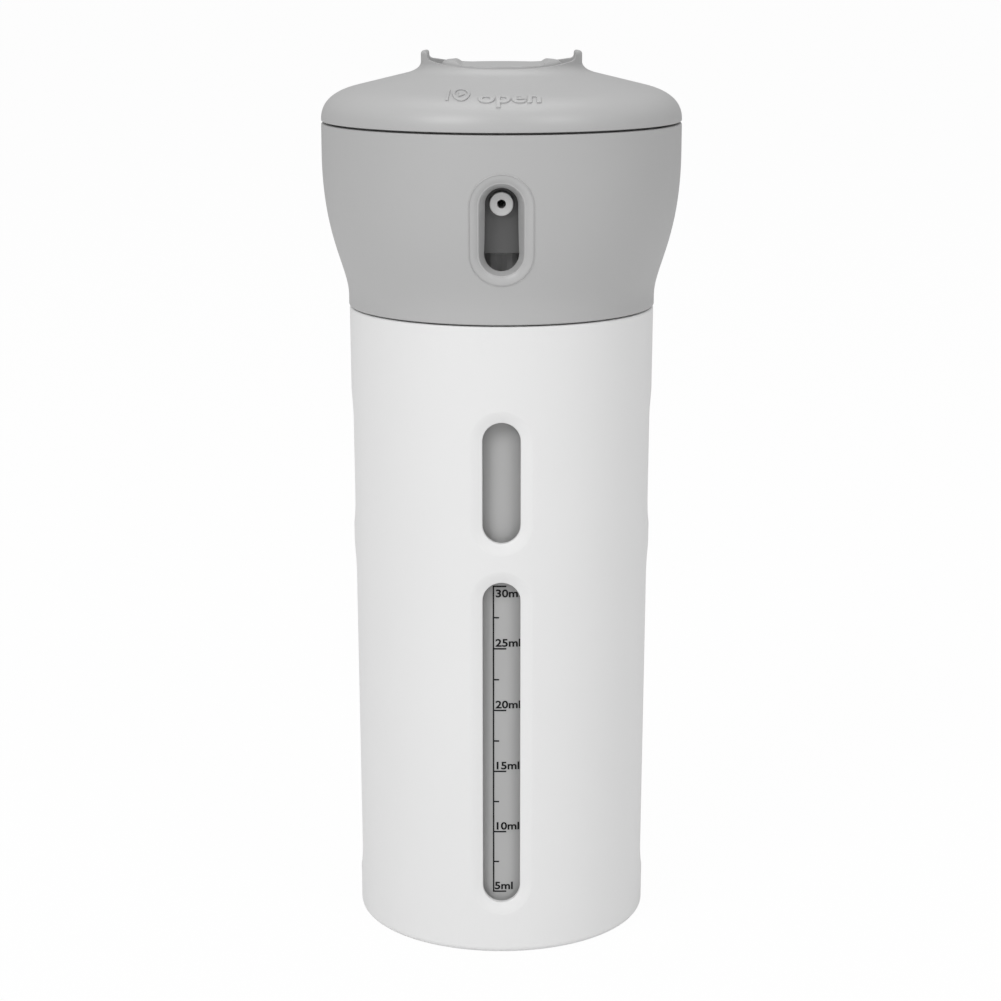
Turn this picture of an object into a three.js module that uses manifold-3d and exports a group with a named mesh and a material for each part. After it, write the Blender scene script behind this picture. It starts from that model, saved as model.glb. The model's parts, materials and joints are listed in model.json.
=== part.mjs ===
// Four-in-one travel lotion dispenser.
// A white cup holds a cross-shaped rack with four quarter-round bottles, each with its own pump.
// A grey head turns on the cup's neck and brings its outlet slot in front of one of the four
// nozzles. A lid twists onto the head and guides a sprung button, whose arm presses the pump
// behind the slot. Level windows in the cup show how full each bottle is.
// Millimetres, +Z up, origin at the middle of the foot, the front faces -Y.

import * as THREE from 'three';
import { mergeVertices } from 'three/addons/utils/BufferGeometryUtils.js';
import Module from 'manifold-3d';

const wasm = await Module();
wasm.setup();

// Clearances
const SEAT_GAP = 0.3; // between a piece and what it rests on
const RUN_GAP = 0.3; // between a piece and what it turns or slides in
const SEAM_GAP = 0.4; // joint line between lid and head
const CUT_PAST = 1; // cuts run this far past the faces they open
const SKIM = 0.1; // keeps a cut's side off a face that it runs along

// Cup
const BODY_R = 29; // outer radius at the shoulder
const BODY_DRAFT = 0.9; // the foot's radius is this much smaller than the shoulder's
const BODY_HEIGHT = 121; // foot to shoulder
const SHELL_WALL = 1.7;
const FLOOR = 1.8;
const FOOT_RECESS = 0.8; // the floor's middle stands this far off the ground
const FOOT_WIDTH = 2.6; // width of the standing ring
const BASE_ROUND = 1.2;
const SHOULDER_ROUND = 0.4;
const NECK_HEIGHT = 6.5;
const NECK_WALL = 1.2;
const NECK_BEAD = 0.5; // snap bead, how far it stands out
const NECK_BEAD_Z = 3.6; // bead above the shoulder
const NECK_BEAD_HEIGHT = 1.2;

// Level windows
const WINDOW_WIDTH = 7;
const LOWER_WINDOW = [10.6, 73.1]; // bottom and top edges
const UPPER_WINDOW = [80.9, 103.3];
const BEZEL_WIDTH = 2.1; // sloping border round a window
const BEZEL_DEPTH = 0.5;
const BEZEL_PAST = 0.5; // share by which the slope is cut on past the surface

// Head
const HEAD_HEIGHT = 34.3;
const HEAD_TOP_R = 33.9;
const RIM_PROUD = 0.1; // the head's rim stands past the cup's shoulder
const RIM_WALL = 1.95;
const RIM_HEIGHT = 1.7; // straight part of the rim
const RIM_LIP_HEIGHT = 2.4; // the lip that snaps under the neck bead
const HEAD_WALL = 1.9;
const HEAD_STEP = 1; // inner step, below the cup's neck top
const HEAD_MOUTH_WALL = 2.15; // wall round the lid's seat
const MOUTH_DEPTH = 6.1;
const FLANK_LOW = 0.216; // shares of the head's height, which shape its sweeping curve
const FLANK_HIGH = 0.367;
const FLANK_END = 0.845;

// Outlet slot
const SLOT_WIDTH = 8;
const SLOT_ROOM_ABOVE = 4; // slot's top above the nozzle's axis
const SLOT_ROOM_BELOW = 6.6; // slot's bottom below the pressed nozzle's axis
const SLOT_TAPER = 1.1; // the slot narrows this much on each side, going in
const SLOT_SLEEVE_WALL = 1.2;
const SLOT_BEZEL = 1.6; // width of its sloping border

// Lid
const LID_RIM = 0.35; // straight part above the joint line
const LID_CORNER = 4.8; // height of the corner between side and top, before rounding
const LID_ROUND = 6.4; // the rounding's width, seen from above
const LID_SLOPE = 0.243; // rise of the top towards the middle
const LID_WALL = 1.6;
const COLLAR_R = 15.1;
const COLLAR_WALL = 1.3;
const COLLAR_ROUND = 2.8; // hollow rounding at the collar's foot, seen from above
const COLLAR_ROUND_RISE = 0.8; // and its height on the collar
const COLLAR_FRONT = 10.15; // front edge of the collar above the joint line
const COLLAR_SIDE = 1.85; // the edge rises this much towards the ears
const EAR_HEIGHT = 12.9; // tips of the ears above the joint line
const WELL_DROP = 1.1; // trough round the button, below the collar's front edge
const SPIGOT_DEPTH = 5.2;
const SPIGOT_WALL = 1.4;
const GUIDE_WALL = 1.4;
const LEDGE = 1.6;

// Bayonet between lid and head
const LUG_COUNT = 3;
const LUG_OUT = 0.9;
const LUG_HEIGHT = 2;
const LUG_DEG = 10;
const OPEN_DEG = 25; // twist from closed to open
const LUG_LIFT = 0.6; // lug above the spigot's end
const LUG_CLEAR_DEG = 0.8;

// Button and its arm
const BUTTON_HOLE_R = 11.6;
const BUTTON_WALL = 1.4;
const BUTTON_ROUND = 0.7;
const BUTTON_PROUD = 0.2; // above the collar's front edge
const GRIP_HEIGHT = 1.1;
const GRIP_SPAN = 15.2; // clear width between the two grips
const GRIP_LEAN = 0.5; // a grip's inner side leans out this much
const SPINDLE = 6.4; // width of the square spindle
const SPINDLE_ROUND = 1;
const SOCKET_WALL = 1.3;
const ARM_THICK = 2.8;
const ARM_TIP_R = 4.6;
const ARM_HUB_R = 6;
const STROKE = 6;
const STROKE_SPARE = 0.5; // left over below the stroke
const BUTTON_SPRING_WIRE = 0.9;
const BUTTON_SPRING_TURNS = 4;

// Rack
const BLADE = 1;
const RACK_POST_R = 2;
const RACK_DISC = 1.4;
const RACK_TOP = 9; // blades end this far below the shoulder
const PEG_R = 1.5;
const PEG_RADIUS = 12; // pegs from the middle
const PEG_HEIGHT = 1.2;

// Bottles
const BOTTLE_SIDE_GAP = 0.4; // flat side to blade
const BOTTLE_DROP_GAP = 0.35; // round side to the cup's neck
const BOTTLE_WALL = 1;
const BOTTLE_CORNER_R = 4;
const BOTTLE_TIP_R = 3;
const BOTTLE_LEAST_R = 0.6; // least corner radius where the form draws in
const BOTTLE_FOOT_ROUND = 1.4;
const BOTTLE_DOME = 5; // height of the rounded shoulder
const BOTTLE_DOME_IN = 5.5; // how far it draws in
const NECK_FINISH_R = 6.6;
const MOUTH_R = 5.2;

// Pumps
const NOZZLE_HEIGHT = 22; // nozzle axis above the cup's shoulder
const NOZZLE_R = 2.15;
const NOZZLE_BORE_R = 0.8;
const NOZZLE_SPIGOT_R = 1.45; // the nozzle's back end, seated in the actuator
const NOZZLE_SEAT = 3; // depth of that seat
const NOZZLE_SETBACK = 0.6; // tip to the slot sleeve's inner end
const SLEEVE_DEPTH = 5.2; // slot sleeve, measured in from the head's surface
const ACTUATOR_R = 6;
const ACTUATOR_SKIRT = 0.35; // actuator's foot below the nozzle
const ACTUATOR_ROUND = 0.8;
const CLOSURE_WALL = 1.95; // with its grip ribs and thread
const CLOSURE_HEIGHT = 13.5;
const CLOSURE_TOP = 1.3;
const CLOSURE_FLUTES = 14;
const FLUTE_DEPTH = 0.35;
const FLANGE = 1.2;
const GASKET = 1;
const BARREL_R = 4.6;
const BARREL_WALL = 0.9;
const BARREL_LENGTH = 23;
const BARREL_CONE = 3;
const NIPPLE_LENGTH = 6;
const NIPPLE_WALL = 0.6;
const VALVE_HOLE_R = 0.9;
const BALL_R = 1.3;
const STEM_R = 1.9;
const STEM_BORE_R = 1;
const SOCKET_DEPTH = 4.2; // how far the stem reaches into the actuator
const PISTON_HEIGHT = 4.5;
const PISTON_DROP = 4; // piston's top below the closure, pump at rest
const PISTON_WAIST = 0.8;
const TUBE_R = 1.6;
const TUBE_BORE_R = 1.05;
const TUBE_LIFT = 1.2; // tube's end above the bottle's floor
const PUMP_SPRING_WIRE = 0.5;
const PUMP_SPRING_TURNS = 5;

// Facets
const BIG_SIDES = 44;
const SMALL_SIDES = 16;
const BARREL_SIDES = 12;
const BUTTON_SIDES = 30;
const BALL_SIDES = 8;
const TUBE_SIDES = 10;
const WIRE_SIDES = 4;
const WINDOW_ARC_STEPS = 5;
const SLOT_SIDE_POINTS = 4;
const FLANK_STEPS = 7;
const CHANNEL_STEPS = 8;
const LUG_STEPS = 3;
const LID_ROUND_STEPS = 5;
const COLLAR_ROUND_STEPS = 3;
const COLLAR_EDGE_STEPS = 6;
const ARM_STEPS = 10;
const BOTTLE_FACE_STEPS = 6;
const BOTTLE_CORNER_STEPS = 3;
const BUTTON_SPRING_STEPS = 12; // steps in a turn
const PUMP_SPRING_STEPS = 7;

// Radii that follow from one another, from outside in
const BASE_R = BODY_R - BODY_DRAFT; // outer radius above the foot's rounding
const RIM_R = BODY_R + RIM_PROUD;
const RIM_BORE_R = RIM_R - RIM_WALL;
const NECK_R = RIM_BORE_R - RUN_GAP;
const NECK_BORE_R = NECK_R - NECK_WALL;
const BOTTLE_R = NECK_BORE_R - BOTTLE_DROP_GAP;
const BOTTLE_FLAT = BLADE / 2 + BOTTLE_SIDE_GAP; // flat side to the rack's middle plane
const QUARTER = Math.PI / 4; // half the angle of a quarter bottle
const PUMP_RADIUS = (BOTTLE_R + BOTTLE_FLAT) / (1 + Math.sin(QUARTER));
const CLOSURE_R = NECK_FINISH_R + RUN_GAP + CLOSURE_WALL;
const MOUTH_BORE_R = HEAD_TOP_R - HEAD_MOUTH_WALL;
const SPIGOT_R = MOUTH_BORE_R - RUN_GAP;
const BUTTON_R = BUTTON_HOLE_R - RUN_GAP;
const BUTTON_BORE_R = BUTTON_R - BUTTON_WALL;
const SOCKET_R = (SPINDLE / 2) * Math.SQRT2 + SOCKET_WALL;

// Heights that follow from one another, from the foot up
const FLOOR_TOP = FOOT_RECESS + FLOOR;
const RACK_Z = FLOOR_TOP + SEAT_GAP;
const BOTTLE_Z = RACK_Z + RACK_DISC + SEAT_GAP;
const HEAD_Z = BODY_HEIGHT + SEAT_GAP;
const HEAD_TOP = HEAD_Z + HEAD_HEIGHT;
const LID_Z = HEAD_TOP + SEAM_GAP;
const NOZZLE_Z = BODY_HEIGHT + NOZZLE_HEIGHT;
const SLOT_TOP = NOZZLE_Z + SLOT_ROOM_ABOVE;
const SLOT_BOTTOM = NOZZLE_Z - STROKE - SLOT_ROOM_BELOW;
const ACTUATOR_Z = NOZZLE_Z - NOZZLE_R - ACTUATOR_SKIRT;
const ACTUATOR_TOP = NOZZLE_Z + SLOT_ROOM_ABOVE;
const CLOSURE_TOP_Z = ACTUATOR_Z - STROKE - STROKE_SPARE;
const FLANGE_TOP = CLOSURE_TOP_Z - CLOSURE_TOP - SEAT_GAP;
const GASKET_TOP = FLANGE_TOP - FLANGE - SEAT_GAP;
const BOTTLE_MOUTH = GASKET_TOP - GASKET - SEAT_GAP;
const CLOSURE_Z = CLOSURE_TOP_Z - CLOSURE_HEIGHT;
const BOTTLE_TOP = CLOSURE_Z - 2 * SEAT_GAP;
const BARREL_FOOT = FLANGE_TOP - FLANGE - BARREL_LENGTH;
const CONE_FOOT = BARREL_FOOT - BARREL_CONE;
const NIPPLE_FOOT = CONE_FOOT - NIPPLE_LENGTH;
const PISTON_TOP = CLOSURE_TOP_Z - PISTON_DROP;
const PISTON_FOOT = PISTON_TOP - PISTON_HEIGHT;
const STEM_TOP = ACTUATOR_Z + SOCKET_DEPTH;
const ARM_Z = ACTUATOR_TOP + SEAT_GAP;
const LUG_Z = LID_Z - SPIGOT_DEPTH + LUG_LIFT;
const LEDGE_Z = ARM_Z + ARM_THICK + 3 * SEAT_GAP;
const LEDGE_TOP = LEDGE_Z + LEDGE;
const SKIRT_Z = LEDGE_TOP + STROKE + STROKE_SPARE;
const BUTTON_TOP = LID_Z + COLLAR_FRONT + BUTTON_PROUD;
const BUTTON_UNDER = BUTTON_TOP - BUTTON_WALL;

// Turns a list of [x, y, radius, steps] corners into points, and rounds each that has a radius.
function rounded(corners) {
  const count = corners.length;
  return corners.flatMap(([x, y, radius = 0, steps = 2], i) => {
    const corner = new THREE.Vector2(x, y);
    if (!radius) return [corner];
    const back = new THREE.Vector2(...corners[(i + count - 1) % count].slice(0, 2)).sub(corner);
    const ahead = new THREE.Vector2(...corners[(i + 1) % count].slice(0, 2)).sub(corner);
    const reach = Math.min(radius / Math.tan(back.angleTo(ahead) / 2),
      0.49 * back.length(), 0.49 * ahead.length());
    const start = back.setLength(reach).add(corner);
    const end = ahead.setLength(reach).add(corner);
    return new THREE.QuadraticBezierCurve(start, corner, end).getPoints(steps);
  });
}

// Makes a solid of a closed geometry, so that it can be cut and joined.
function solid(geometry) {
  const bare = geometry.clone();
  bare.deleteAttribute('normal');
  bare.deleteAttribute('uv');
  const merged = mergeVertices(bare, 1e-4);
  const index = merged.index.array;
  const triVerts = [];
  for (let i = 0; i < index.length; i += 3) {
    const [a, b, c] = index.slice(i, i + 3);
    if (a !== b && b !== c && c !== a) triVerts.push(a, b, c);
  }
  return new wasm.Manifold(new wasm.Mesh({
    numProp: 3,
    vertProperties: new Float32Array(merged.attributes.position.array),
    triVerts: new Uint32Array(triVerts),
  }));
}

// A profile of [radius, height] points turned about Z; a ring's profile is closed first.
function revolve(points, sides, closed = false) {
  const profile = closed ? [...points, points[0].clone()] : points;
  return solid(new THREE.LatheGeometry(profile, sides).rotateX(Math.PI / 2));
}

// A flat outline raised along Z from one height to another.
function raise(points, bottom, top) {
  const shape = new THREE.Shape(points);
  const geometry = new THREE.ExtrudeGeometry(shape, { depth: top - bottom, bevelEnabled: false });
  return solid(geometry.translate(0, 0, bottom));
}

// Rings of points with the same count, skinned one to the next and closed at both ends.
function loft(rings) {
  const count = rings[0].length;
  const middle = (ring) => ring.reduce((sum, p) => sum.clone().add(p), new THREE.Vector3())
    .divideScalar(count);
  const points = [...rings.flat(), middle(rings[0]), middle(rings.at(-1))];
  const first = rings.length * count;
  const last = (rings.length - 1) * count;
  const index = [];
  for (let i = 0; i < count; i += 1) {
    const next = (i + 1) % count;
    for (let row = 0; row < last; row += count) {
      index.push(row + i, row + next, row + count + next);
      index.push(row + i, row + count + next, row + count + i);
    }
    index.push(first, next, i, first + 1, last + i, last + next);
  }
  let volume = 0;
  for (let i = 0; i < index.length; i += 3) {
    volume += points[index[i]].dot(points[index[i + 1]].clone().cross(points[index[i + 2]]));
  }
  if (volume < 0) index.reverse();
  const geometry = new THREE.BufferGeometry().setFromPoints(points);
  return solid(geometry.setIndex(index));
}

// Spring wire wound about Z, with both ends closed.
class Coil extends THREE.Curve {
  constructor(radius, bottom, top, turns) {
    super();
    Object.assign(this, { radius, bottom, top, turns });
  }

  getPoint(t, target = new THREE.Vector3()) {
    const angle = t * this.turns * 2 * Math.PI;
    const height = THREE.MathUtils.lerp(this.bottom, this.top, t);
    return target.set(this.radius * Math.cos(angle), this.radius * Math.sin(angle), height);
  }
}

function spring(radius, bottom, top, turns, wire, stepsPerTurn) {
  const wireR = wire / 2;
  const section = Array.from({ length: WIRE_SIDES }, (_, i) => {
    const a = (2 * Math.PI * i) / WIRE_SIDES;
    return new THREE.Vector2(wireR * Math.cos(a), wireR * Math.sin(a));
  });
  return solid(new THREE.ExtrudeGeometry(new THREE.Shape(section), {
    steps: turns * stepsPerTurn,
    extrudePath: new Coil(radius, bottom + wireR, top - wireR, turns),
  }));
}

// Upright slot outline, as [x, z] points, with some points along its straight sides.
function obround(width, bottom, top, sidePoints = 0, arcSteps = WINDOW_ARC_STEPS) {
  const r = width / 2;
  const points = [];
  for (let i = 0; i <= arcSteps; i += 1) {
    const a = (Math.PI * i) / arcSteps;
    points.push([r * Math.cos(a), top - r + r * Math.sin(a)]);
  }
  for (let i = 1; i <= sidePoints; i += 1) {
    points.push([-r, THREE.MathUtils.lerp(top - r, bottom + r, i / (sidePoints + 1))]);
  }
  for (let i = 0; i <= arcSteps; i += 1) {
    const a = Math.PI + (Math.PI * i) / arcSteps;
    points.push([r * Math.cos(a), bottom + r + r * Math.sin(a)]);
  }
  for (let i = 1; i <= sidePoints; i += 1) {
    points.push([r, THREE.MathUtils.lerp(bottom + r, top - r, i / (sidePoints + 1))]);
  }
  return points;
}

// Lays an [x, z] outline on the front of a turned surface of the given radius at each height.
function wrap(outline, radiusAt) {
  return outline.map(([x, z]) => new THREE.Vector3(x, -Math.sqrt(radiusAt(z) ** 2 - x ** 2), z));
}

// Part of a flat ring about Z, between two angles in degrees.
function ringSector(inner, outer, fromDeg, toDeg, bottom, top, steps) {
  const arc = (radius, a, b) => Array.from({ length: steps + 1 }, (_, i) => {
    const angle = THREE.MathUtils.degToRad(THREE.MathUtils.lerp(a, b, i / steps));
    return new THREE.Vector2(radius * Math.cos(angle), radius * Math.sin(angle));
  });
  return raise([...arc(outer, fromDeg, toDeg), ...arc(inner, toDeg, fromDeg)], bottom, top);
}

// A round bar along -Y from one depth to another.
function barForward(radius, from, to, z, sides) {
  const bar = new THREE.CylinderGeometry(radius, radius, to - from, sides);
  return solid(bar.translate(0, -(from + to) / 2, z));
}

// Outer radius of the cup at a height
function cupRadius(z) {
  return THREE.MathUtils.lerp(BASE_R, BODY_R, z / BODY_HEIGHT);
}

function cup() {
  const beadZ = BODY_HEIGHT + NECK_BEAD_Z;
  const neckTop = BODY_HEIGHT + NECK_HEIGHT;
  const footInner = BASE_R - BASE_ROUND - FOOT_WIDTH;
  let body = revolve(rounded([
    [0, FOOT_RECESS], [footInner - FOOT_RECESS, FOOT_RECESS], [footInner, 0],
    [BASE_R, 0, BASE_ROUND], [BODY_R, BODY_HEIGHT, SHOULDER_ROUND],
    [NECK_R, BODY_HEIGHT], [NECK_R, beadZ - NECK_BEAD],
    [NECK_R + NECK_BEAD, beadZ], [NECK_R + NECK_BEAD, beadZ + NECK_BEAD_HEIGHT],
    [NECK_R, beadZ + NECK_BEAD_HEIGHT + NECK_BEAD], [NECK_R, neckTop], [NECK_BORE_R, neckTop],
    [NECK_BORE_R, BODY_HEIGHT - SHELL_WALL], [BODY_R - SHELL_WALL, BODY_HEIGHT - 2 * SHELL_WALL],
    [BASE_R - SHELL_WALL, FLOOR_TOP, BASE_ROUND], [0, FLOOR_TOP],
  ]), BIG_SIDES);
  const slopeWidth = (1 + BEZEL_PAST) * BEZEL_WIDTH;
  for (const [bottom, top] of [LOWER_WINDOW, UPPER_WINDOW]) {
    const opening = (wider, inward) => wrap(
      obround(WINDOW_WIDTH + 2 * wider, bottom - wider, top + wider),
      (z) => cupRadius(z) - inward,
    );
    const cutter = loft([
      opening(slopeWidth, -2 * SHELL_WALL), opening(slopeWidth, -BEZEL_PAST * BEZEL_DEPTH),
      opening(0, BEZEL_DEPTH), opening(0, 2 * SHELL_WALL),
    ]);
    for (let side = 0; side < 4; side += 1) body = body.subtract(cutter.rotate([0, 0, 90 * side]));
  }
  for (const side of [-1, 1]) {
    const peg = new THREE.CylinderGeometry(PEG_R, PEG_R, PEG_HEIGHT + FLOOR / 2, TUBE_SIDES);
    peg.rotateX(Math.PI / 2).translate(side * PEG_RADIUS, 0, FLOOR_TOP + PEG_HEIGHT / 2 - FLOOR / 4);
    body = body.add(solid(peg));
  }
  return body;
}

function rack() {
  const top = BODY_HEIGHT - RACK_TOP;
  const discR = BOTTLE_R;
  const disc = new THREE.CylinderGeometry(discR, discR, RACK_DISC, BIG_SIDES / 2);
  let body = solid(disc.rotateX(Math.PI / 2).translate(0, 0, RACK_Z + RACK_DISC / 2));
  const post = new THREE.CylinderGeometry(RACK_POST_R, RACK_POST_R, top - RACK_Z, TUBE_SIDES);
  body = body.add(solid(post.rotateX(Math.PI / 2).translate(0, 0, (RACK_Z + top) / 2)));
  for (const turn of [45, 135]) {
    const blade = rounded([
      [-BOTTLE_R, RACK_Z + RACK_DISC / 2], [BOTTLE_R, RACK_Z + RACK_DISC / 2],
      [BOTTLE_R, top, BOTTLE_TIP_R], [-BOTTLE_R, top, BOTTLE_TIP_R],
    ]);
    const plate = new THREE.ExtrudeGeometry(new THREE.Shape(blade), {
      depth: BLADE, bevelEnabled: false,
    });
    plate.translate(0, 0, -BLADE / 2).rotateX(Math.PI / 2);
    body = body.add(solid(plate).rotate([0, 0, turn]));
  }
  for (const side of [-1, 1]) {
    const holeR = PEG_R + RUN_GAP;
    const hole = new THREE.CylinderGeometry(holeR, holeR, 4 * RACK_DISC, TUBE_SIDES);
    hole.rotateX(Math.PI / 2).translate(side * PEG_RADIUS, 0, RACK_Z);
    body = body.subtract(solid(hole));
  }
  return body;
}

// Cross-section of a quarter bottle drawn in by an inset, seen from above, pointing to the front
function quarterRing(inset, z) {
  const flat = BOTTLE_FLAT + inset;
  const outer = BOTTLE_R - inset;
  const corner = Math.max(BOTTLE_CORNER_R - inset, BOTTLE_LEAST_R);
  const tip = Math.max(BOTTLE_TIP_R - inset, BOTTLE_LEAST_R);
  const tipY = (flat + tip) / Math.sin(QUARTER);
  const along = Math.sqrt((outer - corner) ** 2 - (flat + corner) ** 2);
  const lean = QUARTER - Math.atan2(flat + corner, along); // from the middle to a corner's centre
  const cornerX = (outer - corner) * Math.sin(lean);
  const cornerY = (outer - corner) * Math.cos(lean);
  const arc = (x, y, radius, from, to, steps) => Array.from({ length: steps + 1 }, (_, i) => {
    const a = THREE.MathUtils.lerp(from, to, i / steps);
    return new THREE.Vector3(x + radius * Math.sin(a), -(y + radius * Math.cos(a)), z);
  });
  const square = QUARTER + Math.PI / 2;
  return [
    ...arc(0, 0, outer, -lean, lean, BOTTLE_FACE_STEPS),
    ...arc(cornerX, cornerY, corner, lean, square, BOTTLE_CORNER_STEPS).slice(1),
    ...arc(0, tipY, tip, square, 2 * Math.PI - square, BOTTLE_CORNER_STEPS),
    ...arc(-cornerX, cornerY, corner, -square, -lean, BOTTLE_CORNER_STEPS).slice(0, -1),
  ];
}

// Outer or inner form of a bottle: foot rounding, straight side, domed shoulder
function bottleForm(wall) {
  const foot = BOTTLE_Z + wall;
  const top = BOTTLE_TOP - wall;
  const spring = BOTTLE_TOP - BOTTLE_DOME;
  const turns = [0, Math.PI / 4, Math.PI / 2];
  return loft([
    ...turns.map((turn) => quarterRing(wall + BOTTLE_FOOT_ROUND * (1 - Math.sin(turn)),
      foot + BOTTLE_FOOT_ROUND * (1 - Math.cos(turn)))),
    ...turns.map((turn) => quarterRing(wall + BOTTLE_DOME_IN * (1 - Math.cos(turn)),
      THREE.MathUtils.lerp(spring, top, Math.sin(turn)))),
  ]);
}

function ring(inner, outer, bottom, top, sides) {
  const corners = [[inner, bottom], [outer, bottom], [outer, top], [inner, top]];
  return revolve(rounded(corners), sides, true);
}

function rod(radius, bottom, top, sides) {
  return revolve(rounded([[0, bottom], [radius, bottom], [radius, top], [0, top]]), sides);
}

// The pump's pieces are made about the Z axis and moved forward onto the pump's axis.
const toPump = (piece) => piece.translate([0, -PUMP_RADIUS, 0]);

function bottle() {
  const neck = toPump(rod(NECK_FINISH_R, BOTTLE_TOP - BOTTLE_WALL, BOTTLE_MOUTH, SMALL_SIDES));
  const bore = toPump(rod(MOUTH_R, BOTTLE_TOP - 2 * BOTTLE_WALL, BOTTLE_MOUTH + CUT_PAST,
    SMALL_SIDES));
  return bottleForm(0).add(neck).subtract(bottleForm(BOTTLE_WALL)).subtract(bore);
}

function gasket() {
  return toPump(ring(BARREL_R + RUN_GAP, NECK_FINISH_R, GASKET_TOP - GASKET, GASKET_TOP,
    SMALL_SIDES));
}

// Screw closure with grip flutes, a top plate and the stem's hole
function closure() {
  const outline = [];
  const points = 4 * CLOSURE_FLUTES;
  for (let i = 0; i < points; i += 1) {
    const r = CLOSURE_R - (i % 4 < 2 ? 0 : FLUTE_DEPTH);
    const a = (2 * Math.PI * i) / points;
    outline.push(new THREE.Vector2(r * Math.cos(a), r * Math.sin(a)));
  }
  const inside = rod(NECK_FINISH_R + RUN_GAP, CLOSURE_Z - CUT_PAST, CLOSURE_TOP_Z - CLOSURE_TOP,
    SMALL_SIDES);
  const hole = rod(STEM_R + RUN_GAP, CLOSURE_Z, CLOSURE_TOP_Z + CUT_PAST, TUBE_SIDES);
  return toPump(raise(outline, CLOSURE_Z, CLOSURE_TOP_Z).subtract(inside).subtract(hole));
}

function pumpHousing() {
  const flangeFoot = FLANGE_TOP - FLANGE;
  const boreR = BARREL_R - BARREL_WALL;
  const nippleBore = TUBE_R + RUN_GAP;
  const nippleR = nippleBore + NIPPLE_WALL;
  return toPump(revolve(rounded([
    [nippleBore, NIPPLE_FOOT], [nippleR, NIPPLE_FOOT], [nippleR, CONE_FOOT],
    [BARREL_R, BARREL_FOOT], [BARREL_R, flangeFoot], [NECK_FINISH_R, flangeFoot],
    [NECK_FINISH_R, FLANGE_TOP], [boreR, FLANGE_TOP], [boreR, BARREL_FOOT],
    [VALVE_HOLE_R, CONE_FOOT + BARREL_WALL], [VALVE_HOLE_R, CONE_FOOT - BARREL_WALL],
    [nippleBore, CONE_FOOT - BARREL_WALL],
  ]), BARREL_SIDES, true));
}

// The ball rests in the cone above the valve hole
function valveBall() {
  const lean = Math.atan2(BARREL_CONE - BARREL_WALL, BARREL_R - BARREL_WALL - VALVE_HOLE_R);
  const height = (BALL_R + SEAT_GAP) / Math.cos(lean) - VALVE_HOLE_R * Math.tan(lean);
  const ball = new THREE.SphereGeometry(BALL_R, BALL_SIDES, BALL_SIDES - 2).rotateX(Math.PI / 2);
  return toPump(solid(ball.translate(0, 0, CONE_FOOT + BARREL_WALL + height)));
}

function dipTube() {
  const foot = BOTTLE_Z + BOTTLE_WALL + TUBE_LIFT;
  return toPump(ring(TUBE_BORE_R, TUBE_R, foot, CONE_FOOT - BARREL_WALL - SEAT_GAP, TUBE_SIDES));
}

function pumpSpring() {
  const radius = BARREL_R - BARREL_WALL - RUN_GAP - PUMP_SPRING_WIRE / 2;
  return toPump(spring(radius, BARREL_FOOT + SEAT_GAP, PISTON_FOOT - SEAT_GAP,
    PUMP_SPRING_TURNS, PUMP_SPRING_WIRE, PUMP_SPRING_STEPS));
}

// Cup piston with two sealing lips
function piston() {
  const outer = BARREL_R - BARREL_WALL - RUN_GAP;
  const inner = STEM_R + RUN_GAP;
  const waist = outer - PISTON_WAIST;
  const lip = PISTON_HEIGHT / 4;
  return toPump(revolve(rounded([
    [inner, PISTON_FOOT], [outer, PISTON_FOOT], [waist, PISTON_FOOT + lip],
    [waist, PISTON_TOP - lip], [outer, PISTON_TOP], [inner, PISTON_TOP],
  ]), BARREL_SIDES, true));
}

function stem() {
  return toPump(ring(STEM_BORE_R, STEM_R, PISTON_FOOT, STEM_TOP, TUBE_SIDES));
}

// Outer radius of the head at a height above the rim: one sweeping curve from rim to mouth
const FLANK = new THREE.CubicBezierCurve(
  new THREE.Vector2(RIM_R, HEAD_Z + RIM_HEIGHT),
  new THREE.Vector2(RIM_R, HEAD_Z + FLANK_LOW * HEAD_HEIGHT),
  new THREE.Vector2(HEAD_TOP_R, HEAD_Z + FLANK_HIGH * HEAD_HEIGHT),
  new THREE.Vector2(HEAD_TOP_R, HEAD_Z + FLANK_END * HEAD_HEIGHT),
);

function headRadius(z) {
  const points = FLANK.getPoints(5 * FLANK_STEPS);
  const above = points.findIndex((p) => p.y > z);
  if (above === 0) return RIM_R;
  if (above < 0) return HEAD_TOP_R;
  const [a, b] = [points[above - 1], points[above]];
  return THREE.MathUtils.mapLinear(z, a.y, b.y, a.x, b.x);
}

// Front end of the nozzles, just behind the slot's sleeve
const SLEEVE_R = headRadius(NOZZLE_Z) - SLEEVE_DEPTH;
const NOZZLE_TIP = SLEEVE_R - NOZZLE_SETBACK;
const ACTUATOR_FACE = PUMP_RADIUS + ACTUATOR_R;
const SEAT_BACK = ACTUATOR_FACE - NOZZLE_SEAT;

function actuator() {
  const block = toPump(revolve(rounded([
    [0, ACTUATOR_Z], [ACTUATOR_R, ACTUATOR_Z, ACTUATOR_ROUND / 2],
    [ACTUATOR_R, ACTUATOR_TOP, ACTUATOR_ROUND], [0, ACTUATOR_TOP],
  ]), SMALL_SIDES));
  const bore = barForward(NOZZLE_BORE_R, PUMP_RADIUS, ACTUATOR_FACE, NOZZLE_Z, TUBE_SIDES);
  const seat = barForward(NOZZLE_SPIGOT_R + SEAT_GAP, SEAT_BACK, ACTUATOR_FACE + CUT_PAST, NOZZLE_Z,
    BARREL_SIDES);
  const socket = toPump(rod(STEM_R + RUN_GAP, ACTUATOR_Z - CUT_PAST, STEM_TOP + SEAT_GAP,
    TUBE_SIDES));
  return block.subtract(bore).subtract(seat).subtract(socket);
}

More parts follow.
